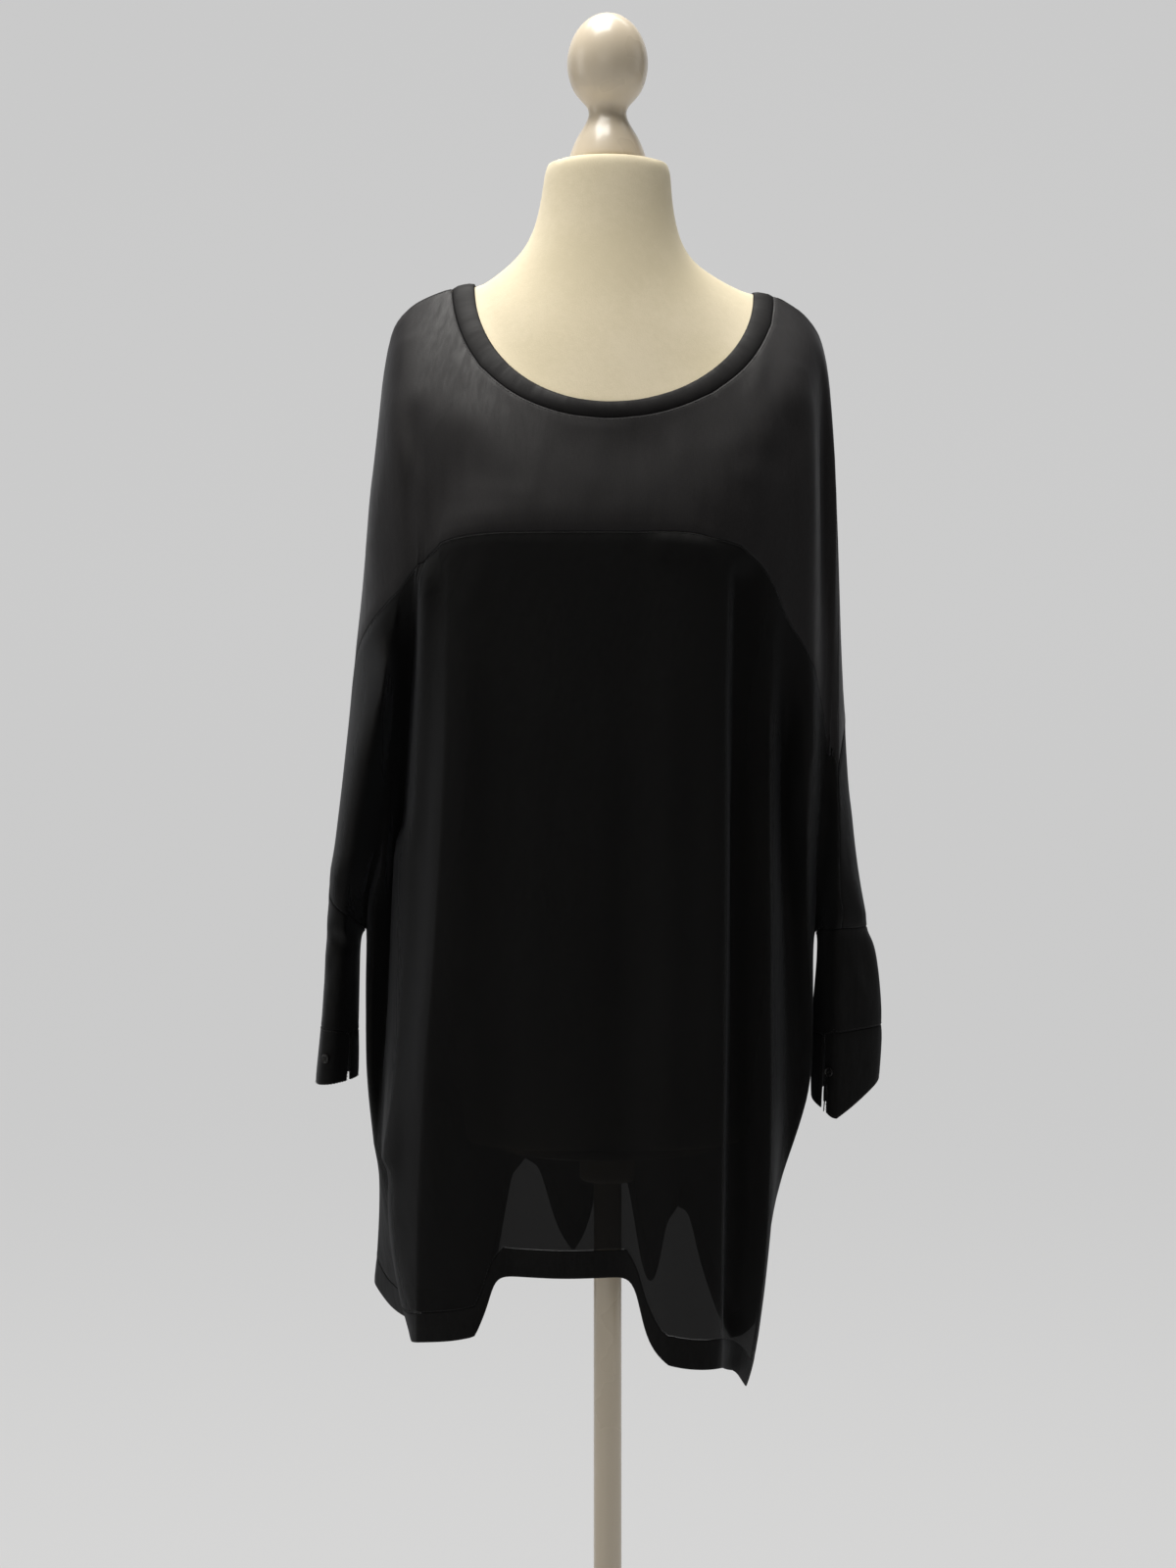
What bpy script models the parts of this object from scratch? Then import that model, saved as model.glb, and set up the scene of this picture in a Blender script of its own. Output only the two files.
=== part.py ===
"""Blouse dress on a limbless dress form. Metres, +Z up, the front faces -Y.

The cloth is one surface, made row by row from the neckline to the hem, and cut
along its seams into panels. Each panel's wall goes in from that surface.
"""

import math

import bpy
import numpy as np

for item in list(bpy.data.objects):
    bpy.data.objects.remove(item)

MM = 0.001
WALL = 1.2 * MM
BAND_WALL = 1.6 * MM
SEAM_HALF_GAP = 0.15 * MM
WIDE_HALF_GAP = 0.3 * MM
CORNER_EASE = 3.0 * MM
BEARING_GAP = 0.9 * MM
FOLD_ROUNDING = 0.2
# The walls' steps are lengthened at folds, and the borders' at corners, up to these shares.
LEAST_FOLD_SHARE = 0.85
LEAST_CORNER_SHARE = 0.4

YOKE_ROWS = 6
WING_ROWS = 6
BODY_ROWS = 9
SLEEVE_ROWS = 5
CUFF_ROWS = 2
SLEEVE_HALF = 7
SPLIT_ROW = YOKE_ROWS + WING_ROWS
HEM_ROW = SPLIT_ROW + BODY_ROWS
HEM_BAND = 22.0
SPLIT_Z = 885.0
LEFT_ARMHOLE_Z = 925.0
RIGHT_ARMHOLE_Z = 888.0

# Rings of the yoke above its seam, in millimetres.
# row, left half width, right half width, front y, back y,
# z at left shoulder, z at right shoulder, z at front, z at back, squareness
# Row -1 is the neckband's inner edge and row 0 its seam.
YOKE_RINGS = [
    (-1.0, 118, 129, -108.5, 83, 1460.5, 1453.5, 1340.5, 1452, 2.0),
    (0.0, 137, 147, -115, 88, 1458.5, 1451.0, 1325, 1438, 2.0),
    (1.0, 163, 167, -118, 96, 1449.0, 1441.0, 1313, 1420, 2.1),
    (2.0, 186, 185, -122, 104, 1433.0, 1424.0, 1300, 1398, 2.25),
    (3.0, 197, 195, -127, 110, 1404.0, 1396.0, 1287, 1372, 2.4),
    (4.5, 210, 203, -137, 122, 1262.0, 1250.0, 1261, 1300, 2.6),
]

# Fold lines of the cloth under the yoke, in millimetres, from the left overarm
# seam round the front. A column of the surface runs down each of them.
# name, columns to the next, x, y, z at the yoke seam, x, y at the wing, x, y at the split
FRONT_FOLDS = [
    ("overarm", 3, (-226, 0, 1113), (-235, 0), (-247, 0)),
    ("wing_outer", 2, (-207, -62, 1148), (-227, -66), (-241, -44)),
    ("wing_crest", 2, (-184, -92, 1172), (-210, -98), (-228, -54)),
    ("split", 3, (-171, -104, 1190), (-199, -40), (-216, 6)),
    ("side_crest", 3, (-164, -110, 1199), (-188, -40), (-205, -43)),
    ("side_valley", 4, (-157, -116, 1206), (-176, -22), (-187, -10)),
    ("ridge", 3, (-148, -122, 1217), (-160, -92), (-168, -94)),
    ("panel_edge_left", 1, (-141, -127, 1223), (-143, -134), (-152, -141)),
    ("panel_left", 3, (-135, -131, 1229), (-137, -145), (-146, -152)),
    ("lobe_left", 1, (-104, -140, 1233), (-104, -146), (-108, -150)),
    ("step_left", 1, (-96, -141, 1234), (-96, -146), (-99, -150)),
    ("arch_left", 1, (-88, -142, 1234), (-88, -146), (-91, -149)),
    ("arch_in_left", 4, (-80, -143, 1234), (-80, -146), (-83, -149)),
    ("centre", 4, (-32, -145, 1234), (-32, -151), (-34, -157)),
    ("arch_in_right", 1, (18, -145, 1234), (14, -148), (12, -151)),
    ("arch_right", 1, (27, -144, 1234), (22, -148), (20, -152)),
    ("step_right", 2, (36, -144, 1234), (30, -149), (28, -153)),
    ("lobe_in_right", 3, (56, -143, 1234), (50, -151), (49, -156)),
    ("lobe_out_right", 2, (88, -140, 1232), (82, -148), (82, -154)),
    ("panel_right", 1, (109, -133, 1226), (101, -144), (101, -151)),
    ("panel_edge_right", 1, (115, -130, 1221), (107, -134), (107, -141)),
    ("pleat_right", 2, (123, -126, 1213), (117, -98), (116, -102)),
    ("ridge_right", 3, (138, -117, 1186), (137, -118), (137, -120)),
    ("side_valley_right", 3, (151, -106, 1149), (150, -56), (153, -48)),
    ("side_crest_right", 3, (175, -90, 1112), (169, -93), (174, -60)),
    ("split_right", 3, (184, -60, 1072), (184, -40), (184, 0)),
    ("sleeve_fold_right", 4, (191, -50, 1040), (192, -38), (192, -32)),
    ("overarm_right", 0, (200, -47, 1016), (200, -47), (201, -42)),
]

BACK_FOLDS = [
    ("overarm_right", 3, (200, -47, 1016), (200, -47), (201, -42)),
    ("sleeve_edge_right", 2, (213, 6, 1066), (221, 2), (234, -5)),
    ("sleeve_back_right", 2, (208, 38, 1092), (212, 40), (214, 34)),
    ("split_right", 3, (200, 56, 1112), (192, 44), (184, 0)),
    ("side_crest_back_right", 4, (186, 75, 1140), (178, 78), (172, 62)),
    ("valley_1", 4, (158, 96, 1178), (146, 86), (134, 88)),
    ("ridge_1", 4, (126, 110, 1204), (118, 122), (106, 134)),
    ("valley_2", 4, (92, 119, 1218), (82, 112), (70, 114)),
    ("ridge_2", 4, (52, 125, 1225), (40, 130), (30, 140)),
    ("valley_3", 4, (6, 127, 1226), (-6, 120), (-14, 122)),
    ("ridge_3", 4, (-42, 125, 1225), (-54, 132), (-62, 144)),
    ("valley_4", 4, (-90, 119, 1218), (-100, 108), (-106, 110)),
    ("ridge_4", 4, (-130, 109, 1203), (-144, 116), (-156, 124)),
    ("side_crest_left", 3, (-170, 89, 1178), (-182, 72), (-196, 62)),
    ("split", 2, (-189, 71, 1156), (-202, 42), (-216, 6)),
    ("wing_crest_back", 2, (-203, 54, 1143), (-219, 58), (-227, 52)),
    ("wing_outer_back", 3, (-217, 30, 1126), (-232, 40), (-241, 42)),
    ("overarm", 0, (-226, 0, 1113), (-235, 0), (-247, 0)),
]

# The same fold lines under the split, where the body hangs free of the sleeves.
# name: x, y at the hip, x, y at the thigh, x, y, z at the hem
HANGING_FOLDS = {
    "split": ((-215, 6), (-205, 35), (-212, 48, 566)),
    "side_crest": ((-209, -46), (-199, -16), (-189, -6, 550)),
    "side_valley": ((-189, -18), (-184, -48), (-164, -62, 547)),
    "ridge": ((-176, -98), (-190, -84), (-168, -98, 546)),
    "panel_edge_left": ((-160, -145), (-166, -143), (-166, -140, 549)),
    "panel_left": ((-154, -156), (-160, -156), (-162, -152, 551)),
    "lobe_left": ((-110, -155), (-110, -161), (-109, -168, 559)),
    "step_left": ((-101, -154), (-101, -158), (-100, -163, 580)),
    "arch_left": ((-92, -152), (-93, -155), (-96, -158, 602)),
    "arch_in_left": ((-84, -151), (-86, -153), (-89, -155, 607)),
    "centre": ((-34, -161), (-35, -163), (-35, -163, 606)),
    "arch_in_right": ((13, -153), (14, -155), (15, -154, 606)),
    "arch_right": ((21, -155), (22, -158), (23, -158, 597)),
    "step_right": ((28, -157), (28, -161), (27, -163, 564)),
    "lobe_in_right": ((49, -161), (50, -167), (49, -171, 536)),
    "lobe_out_right": ((82, -158), (82, -162), (80, -165, 531)),
    "panel_right": ((101, -154), (99, -156), (97, -152, 530)),
    "panel_edge_right": ((107, -143), (105, -144), (102, -140, 527)),
    "pleat_right": ((116, -104), (115, -106), (108, -112, 520)),
    "ridge_right": ((137, -118), (134, -108), (119, -72, 497)),
    "side_valley_right": ((156, -44), (140, -56), (126, -40, 522)),
    "side_crest_right": ((180, -48), (146, -28), (133, -8, 545)),
    "split_right": ((173, 4), (146, 10), (136, 22, 560)),
    "side_crest_back_right": ((166, 60), (147, 62), (142, 68, 536)),
    "valley_1": ((126, 92), (119, 92), (116, 98, 504)),
    "ridge_1": ((98, 142), (86, 148), (66, 154, 618)),
    "valley_2": ((62, 116), (52, 115), (40, 115, 548)),
    "ridge_2": ((22, 150), (14, 158), (8, 162, 666)),
    "valley_3": ((-20, 122), (-26, 118), (-31, 118, 580)),
    "ridge_3": ((-68, 152), (-74, 160), (-77, 164, 662)),
    "valley_4": ((-112, 112), (-118, 110), (-120, 110, 521)),
    "ridge_4": ((-162, 130), (-166, 136), (-164, 140, 516)),
    "side_crest_left": ((-200, 64), (-200, 82), (-202, 92, 548)),
}

# How far the yoke seam lies outside the yoke's last ring: left, right, front, back
SEAM_SPREAD = (1.08, 1.03, 1.06, 1.05)

# Soft folds of the yoke, in millimetres: fold line, columns that it reaches,
# then x, y moved at rows 2, 3 and 4.5
YOKE_FOLDS = [
    ("split_right", 4, (0, 0), (-5, 4), (-9, 8)),
    ("ridge_right", 7, (0, 0), (0, 3), (0, 5)),
    ("panel_right", 6, (0, 0), (0, -2), (0, -3)),
    ("ridge", 7, (0, 0), (0, 2.5), (0, 4)),
    ("wing_crest", 4, (0, 0), (-2, -3), (-2, -5)),
]

FRONT_COLUMNS = sum(fold[1] for fold in FRONT_FOLDS)

# Rows at which the pairs of the fold lines are given.
FOLD_LEVELS = [YOKE_ROWS, YOKE_ROWS + 3, SPLIT_ROW, SPLIT_ROW + 3, SPLIT_ROW + 6, HEM_ROW]

# Lower sleeves and cuffs, in millimetres. Row 0 is the armhole seam, row 5 the
# cuff seam and row 7 the cuff's edge. Each mark is x, y, z.
# row, overarm, front edge, front fold, inner side, back fold, back edge
LEFT_SLEEVE = [
    (2, (-249, 0, 893), (-243, -43, 890), (-228, -52, 882), (-218.5, -1, 866), (-229, 50, 872), (-243, 42, 880)),
    (5, (-254, 0, 802), (-249, -38, 801), (-236, -46, 800), (-218, -2, 798), (-236, 44, 798), (-249, 37, 799)),
    (7, (-259, 0, 753), (-253, -36, 753), (-240, -43, 754), (-217.5, -2, 758), (-239, 41, 757), (-252, 35, 755)),
]
LEFT_MARKS = (0, 3, 5, 7, 9, 11)
# row, inner side, front fold, overarm, outer edge, back fold
RIGHT_SLEEVE = [
    (2, (184, 0, 862), (191, -31, 864), (202, -43, 868), (239, -6, 872), (216, 33, 870)),
    (5, (178.5, -3, 798), (189, -31, 798), (202, -41, 800), (246, -6, 803), (218, 32, 801)),
    (7, (178.5, -3, 741), (188, -30, 731), (200, -37, 723), (243, -6, 757), (215, 30, 752)),
]
RIGHT_MARKS = (0, 3, 7, 10, 12)

# Cuffs: the columns at the slit and at the button, and how far the slit's sides part,
# in millimetres, at each row
LEFT_SLIT = 6
RIGHT_SLIT = 3
LEFT_BUTTON = 4
RIGHT_BUTTON = 5
SLIT_PARTS = (0.3, 0.5, 3.0)
BUTTON_RADIUS = 4.0
BUTTON_THICK = 1.8
BUTTON_LIFT = 0.6

# Rings of the form, in millimetres: left half width, right half width, front y,
# back y, z at the left, z at the right, z at the front, z at the back, squareness
NECK_RINGS = [
    (46, 46, -43, 49, 1566, 1566, 1566, 1566, 2.1),
    (53.5, 53.5, -50, 56, 1563.5, 1563.5, 1563.5, 1563.5, 2.1),
    (56, 56, -52.5, 58.5, 1557, 1557, 1557, 1557, 2.1),
    (57.5, 56.5, -54, 60, 1545, 1545, 1543, 1546, 2.1),
    (61, 58.5, -57, 63, 1524, 1524, 1518, 1528, 2.1),
    (66, 63, -61, 67, 1506.5, 1503, 1494, 1510, 2.1),
    (74, 70, -67, 72, 1491.5, 1488, 1468, 1495, 2.05),
    (85, 81, -76, 75, 1479.5, 1476, 1435, 1481, 2.0),
    (103, 100, -90, 78, 1465.5, 1464, 1392, 1464, 2.0),
]
TORSO_RINGS = [
    (185, 177, -121, 105, 1400, 1392, 1286, 1366, 2.15),
    (180, 172, -125, 109, 1368, 1362, 1268, 1345, 2.2),
    (171, 165, -129, 112, 1328, 1324, 1250, 1315, 2.25),
    (160, 158, -131, 113, 1280, 1280, 1222, 1270, 2.3),
    (150, 150, -120, 108, 1212, 1212, 1178, 1208, 2.3),
    (134, 134, -102, 96, 1140, 1140, 1122, 1140, 2.2),
    (119, 119, -90, 82, 1062, 1062, 1056, 1062, 2.2),
    (128, 128, -97, 86, 985, 985, 985, 985, 2.2),
    (144, 142, -106, 90, 905, 905, 905, 905, 2.2),
    (146, 142, -108, 90, 850, 850, 850, 850, 2.2),
    (136, 132, -104, 88, 775, 775, 775, 775, 2.2),
    (128, 124, -98, 84, 715, 715, 715, 715, 2.2),
    (124, 120, -94, 80, 702, 702, 702, 702, 2.2),
]
TORSO_SIDES = 40
# The form's rings under the cloth: the yoke's row, the wall above it and the gap to it,
# in bearing gaps. The first lies just inside the neckband's edge.
BEARING_RINGS = [
    (-1.12, BAND_WALL, 1.0),
    (0.0, BAND_WALL, 1.0),
    (1.0, WALL, 1.0),
    (2.0, WALL, 1.6),
]
# The reach of the differences that give the cloth's slope there
TURN_STEP = 0.06
ROW_STEP = 0.2

# Turned pieces, in millimetres: radius, z
FINIAL_PROFILE = [
    (33, 1566.2), (35, 1567.5), (34.5, 1571), (31.5, 1580), (27, 1590), (21, 1599),
    (17.5, 1606), (16.5, 1612), (18.5, 1617.5), (24, 1623), (30, 1630), (34, 1639), (36.3, 1650),
    (36.3, 1661), (33.5, 1673), (28, 1684), (20, 1693), (10, 1698.5), (0, 1700),
]
PLATE_PROFILE = [(96, 694), (98, 695), (98, 700.6), (96, 701.6), (0, 701.6)]
COLLAR_PROFILE = [(13.2, 664), (22, 664), (25, 668), (25, 689), (23, 693.7), (13.2, 693.7)]
POLE_PROFILE = [(12.5, 20.4), (12.5, 693.8), (0, 693.8)]
BASE_PROFILE = [(166, 0), (170, 3), (170, 9), (166, 13), (60, 18), (0, 20)]
HUB_PROFILE = [(13.2, 20.6), (32, 20.6), (32, 24), (26, 31), (20, 46), (17, 50), (13.2, 50)]


def rising_slopes(at, values):
    """Slopes of a curve through the values that never overshoots them."""
    steps = np.diff(at)
    rates = np.diff(values) / steps
    slopes = np.empty(len(values))
    slopes[0], slopes[-1] = rates[0], rates[-1]
    for i in range(1, len(values) - 1):
        before, after = rates[i - 1], rates[i]
        if before * after <= 0:
            slopes[i] = 0.0
            continue
        first = 2 * steps[i] + steps[i - 1]
        second = steps[i] + 2 * steps[i - 1]
        slopes[i] = (first + second) / (first / before + second / after)
    return slopes


def curve(at, values, wanted):
    """The values at the wanted places, on a smooth curve with no overshoot."""
    at = np.asarray(at, float)
    values = np.asarray(values, float)
    wanted = np.asarray(wanted, float)
    slopes = rising_slopes(at, values)
    i = np.clip(np.searchsorted(at, wanted, side="right") - 1, 0, len(at) - 2)
    step = at[i + 1] - at[i]
    t = (wanted - at[i]) / step
    return (
        (2 * t**3 - 3 * t**2 + 1) * values[i]
        + (t**3 - 2 * t**2 + t) * step * slopes[i]
        + (3 * t**2 - 2 * t**3) * values[i + 1]
        + (t**3 - t**2) * step * slopes[i + 1]
    )


def ring_point(ring, angle):
    """x, y, z on a ring, at an angle from the left side, round the front."""
    left, right, front, back, z_left, z_right, z_front, z_back, power = ring
    c, s = math.cos(angle), math.sin(angle)
    x = -math.copysign(abs(c) ** (2 / power), c) * (left if c > 0 else right)
    deep = abs(s) ** (2 / power)
    z_side = z_left * (1 + c) / 2 + z_right * (1 - c) / 2
    if s >= 0:
        return x, front * deep, z_side + (z_front - z_side) * s
    return x, back * deep, z_side + (z_back - z_side) * -s


def yoke_ring(row):
    """The ring's sizes at any row of the yoke."""
    rows = [ring[0] for ring in YOKE_RINGS]
    return [float(curve(rows, [ring[i] for ring in YOKE_RINGS], [row])[0]) for i in range(1, 10)]


def seam_angle(x, y):
    """The ring angle of a point of the yoke seam."""
    ring = yoke_ring(4.5)
    power = ring[8] / 2
    left, right, front, back = (size * spread for size, spread in zip(ring, SEAM_SPREAD))
    wide = left if x < 0 else right
    deep = -front if y < 0 else back
    c = math.copysign(min(1.0, abs(x) / wide) ** power, -x)
    s = math.copysign(min(1.0, abs(y) / deep) ** power, -y)
    return math.atan2(s, c)


def ring_curve(at, values, wanted, period):
    """The same curve, closed on itself after the period."""
    at = [at[-2] - period, at[-1] - period, *at, at[0] + period, at[1] + period]
    values = [values[-2], values[-1], *values, values[0], values[1]]
    return curve(at, values, wanted)


def rounded(values, kept):
    """A closed row of values with its fold tips rounded, but for the kept places."""
    beside = np.roll(values, 1) + np.roll(values, -1)
    result = (1 - 2 * FOLD_ROUNDING) * values + FOLD_ROUNDING * beside
    result[kept] = values[kept]
    return result


def fold_column_numbers(folds):
    """The column number of each fold line, and the column after the last."""
    return [0, *(int(n) for n in np.cumsum([fold[1] for fold in folds]))]


def yoke_columns(columns, at, folds, seam):
    """Rows of points from the neckband's inner edge to the yoke seam."""
    period = at[-1]
    front_last = FRONT_COLUMNS
    angles = np.unwrap([seam_angle(*fold[2][:2]) for fold in folds])
    angles = np.append(angles, angles[0] + 2 * math.pi)
    seam_angles = curve(at, angles, columns)
    turn = curve(at, angles, [front_last])[0]
    even = np.interp(columns, [0, front_last, period], [0, math.pi, 2 * math.pi])
    scaled = np.where(
        columns <= front_last,
        math.pi * (seam_angles - angles[0]) / (turn - angles[0]),
        math.pi + math.pi * (seam_angles - turn) / (angles[-1] - turn),
    )
    neck_angles = 0.5 * even + 0.5 * scaled
    rows = [-1, 0, 1, 2, 3, 4.5, YOKE_ROWS]
    fold_places = dict(zip([fold[0] for fold in FRONT_FOLDS], at))
    surface = np.empty((YOKE_ROWS + 2, len(columns), 3))
    for i in range(len(columns)):
        points = []
        for row in rows[:-1]:
            twist = max(0.0, (row - 3) / (YOKE_ROWS - 3))
            angle = neck_angles[i] * (1 - twist) + seam_angles[i] * twist
            points.append(ring_point(yoke_ring(row), angle))
        points = np.array([*points, seam[i]])
        for name, reach, *moves in YOKE_FOLDS:
            away = abs(columns[i] - fold_places[name]) / reach
            if away < 1:
                points[3:6, :2] += np.array(moves) * (1 - away * away) ** 2
        for axis in range(3):
            surface[:, i, axis] = curve(rows, points[:, axis], range(-1, YOKE_ROWS + 1))
    return surface


def split_heights(columns, period):
    """The height of the armhole seams and of the split between sleeve and body."""
    last = FRONT_COLUMNS
    at = [0, SLEEVE_HALF, last - SLEEVE_HALF, last, last + SLEEVE_HALF, period - SLEEVE_HALF, period]
    heights = [LEFT_ARMHOLE_Z, SPLIT_Z, SPLIT_Z, RIGHT_ARMHOLE_Z, SPLIT_Z, SPLIT_Z, LEFT_ARMHOLE_Z]
    return np.interp(columns, at, heights)


def cloth_rows():
    """All the rows of the surface: rows[row + 1][column] is a point in metres.

    Below the split the sleeves' columns hold nothing.
    """
    folds = FRONT_FOLDS[:-1] + BACK_FOLDS[:-1]
    at = fold_column_numbers(folds)
    period = at[-1]
    columns = np.arange(period)
    seam_marks = zip(*[fold[2] for fold in folds])
    seam = np.stack([ring_curve(at[:-1], list(marks), columns, period) for marks in seam_marks], axis=1)
    surface = np.full((HEM_ROW + 2, period, 3), np.nan)
    surface[: YOKE_ROWS + 2] = yoke_columns(columns, at, folds, seam)

    paths = []
    for fold in folds:
        given = fold[2:] + HANGING_FOLDS.get(fold[0], ())
        levels = FOLD_LEVELS[: len(given)]
        rows = np.arange(levels[0], levels[-1] + 1)
        path = [curve(levels, [mark[axis] for mark in given], rows) for axis in range(2)]
        paths.append([dict(zip(rows, values)) for values in path])

    # Below the split, the body's columns follow one another without the sleeves'.
    last, half = FRONT_COLUMNS, SLEEVE_HALF
    body = [*range(half, last - half + 1), *range(last + half, period - half + 1)]
    body_place = [c if c <= last else c - 2 * half for c in body]
    body_period = period - 4 * half
    hanging = [i for i in range(len(folds)) if at[i] in body and at[i] not in (last + half, period - half)]
    body_at = [at[i] if at[i] <= last else at[i] - 2 * half for i in hanging]
    hem_z = [HANGING_FOLDS[folds[i][0]][-1][2] for i in hanging]
    hem = ring_curve(body_at, hem_z, body_place, body_period)
    split_z = split_heights(columns, period)
    armpits = [half, last - half, last + half, period - half]
    for row in range(YOKE_ROWS + 1, HEM_ROW + 1):
        for axis in range(2):
            if row <= SPLIT_ROW:
                values = [path[axis][row] for path in paths]
                values = ring_curve(at[:-1], values, columns, period)
                surface[row + 1, :, axis] = rounded(values, armpits if row == SPLIT_ROW else [])
            else:
                values = [paths[i][axis][row] for i in hanging]
                values = ring_curve(body_at, values, body_place, body_period)
                surface[row + 1, body, axis] = rounded(values, [body.index(c) for c in armpits])
        if row <= SPLIT_ROW:
            down = (row - YOKE_ROWS) / WING_ROWS
            surface[row + 1, :, 2] = seam[:, 2] * (1 - down) + split_z * down
        elif row < HEM_ROW:
            down = (row - SPLIT_ROW) / (BODY_ROWS - 1)
            surface[row + 1, body, 2] = SPLIT_Z * (1 - down) + (hem + HEM_BAND) * down
        else:
            surface[row + 1, body, 2] = hem
    return surface * MM


def sleeve_rows(start, marks, table):
    """Rows of a closed tube that starts at the armhole seam's points."""
    count = len(start)
    rows = [0] + [entry[0] for entry in table]
    rings = [start]
    for entry in table:
        sides = [ring_curve(list(marks), list(values), range(count), count) for values in zip(*entry[1:])]
        rings.append(np.stack(sides, axis=1) * MM)
    surface = np.empty((SLEEVE_ROWS + CUFF_ROWS + 1, count, 3))
    for i in range(count):
        for axis in range(3):
            surface[:, i, axis] = curve(rows, [ring[i][axis] for ring in rings], range(len(surface)))
    return surface


def slit_cuff(tube, column):
    """The cuff's tube cut open at a column, its two sides a little apart."""
    order = [(column + i) % tube.shape[1] for i in range(tube.shape[1] + 1)]
    strip = tube[:, order].copy()
    for row, part in enumerate(SLIT_PARTS):
        first = strip[row, 1] - strip[row, 0]
        end = strip[row, -2] - strip[row, -1]
        strip[row, 0] += first / np.linalg.norm(first) * part * MM
        strip[row, -1] += end / np.linalg.norm(end) * part * MM
    return strip


class Cloth:
    """The welded surface: its points, faces and the panel of each face."""

    def __init__(self):
        self.points = []
        self.found = {}
        self.faces = []

    def point(self, p):
        """The number of the point at p, which is added if it's new."""
        key = tuple(np.round(np.asarray(p) / (0.05 * MM)).astype(int))
        if key not in self.found:
            self.found[key] = len(self.points)
            self.points.append(np.array(p, float))
        return self.found[key]

    def grid(self, panel, rows, closed=False):
        """Faces between the rows of points, facing outwards."""
        ids = [[self.point(p) for p in row] for row in rows]
        for upper, lower in zip(ids[:-1], ids[1:]):
            count = len(upper)
            for i in range(count if closed else count - 1):
                j = (i + 1) % count
                self.faces.append((panel, (upper[i], lower[i], lower[j], upper[j])))

    def finish(self):
        """Works out the normals that neighbouring panels share."""
        self.points = np.array(self.points)
        normals = []
        for _, corners in self.faces:
            a, b, c, d = (self.points[i] for i in corners)
            normal = np.cross(c - a, d - b)
            normals.append(normal / max(np.linalg.norm(normal), 1e-12))
        self.normals = np.array(normals)
        faces = [corners for _, corners in self.faces]
        self.point_normals, self.longer = point_normals(self.points, faces, normals)


def point_normals(points, faces, normals):
    """Each point's normal, and how much longer the wall's step is there."""
    total = np.zeros_like(points)
    for corners, normal in zip(faces, normals):
        for k, corner in enumerate(corners):
            before = points[corners[k - 1]] - points[corner]
            after = points[corners[(k + 1) % len(corners)]] - points[corner]
            size = np.linalg.norm(before) * np.linalg.norm(after)
            turn = math.acos(max(-1.0, min(1.0, float(before @ after) / max(size, 1e-15))))
            total[corner] += normal * turn
    total /= np.maximum(np.linalg.norm(total, axis=1, keepdims=True), 1e-12)
    level = np.zeros(len(points))
    uses = np.zeros(len(points))
    for corners, normal in zip(faces, normals):
        for corner in corners:
            level[corner] += float(total[corner] @ normal)
            uses[corner] += 1
    return total, 1.0 / np.clip(level / np.maximum(uses, 1), LEAST_FOLD_SHARE, 1.0)


def material(name, colour, roughness):
    made = bpy.data.materials.new(name)
    made.use_nodes = True
    shader = made.node_tree.nodes["Principled BSDF"]
    shader.inputs["Base Color"].default_value = (*colour, 1.0)
    shader.inputs["Roughness"].default_value = roughness
    return made


def add_object(name, points, faces, shade):
    mesh = bpy.data.meshes.new(name)
    mesh.from_pydata([tuple(p) for p in points], [], faces)
    mesh.materials.append(shade)
    made = bpy.data.objects.new(name, mesh)
    bpy.context.scene.collection.objects.link(made)
    return made


def fold_between(points, first, second):
    """How well two triangles agree in the way they face."""
    normals = []
    for a, b, c in (first, second):
        normal = np.cross(points[b] - points[a], points[c] - points[a])
        normals.append(normal / max(np.linalg.norm(normal), 1e-15))
    return float(normals[0] @ normals[1])


def halves(points, face):
    """The two triangles of a four-sided face, cut the way that bends it least."""
    a, b, c, d = face
    one = (a, b, c), (a, c, d)
    other = (a, b, d), (b, c, d)
    return one if fold_between(points, *one) >= fold_between(points, *other) else other


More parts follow.
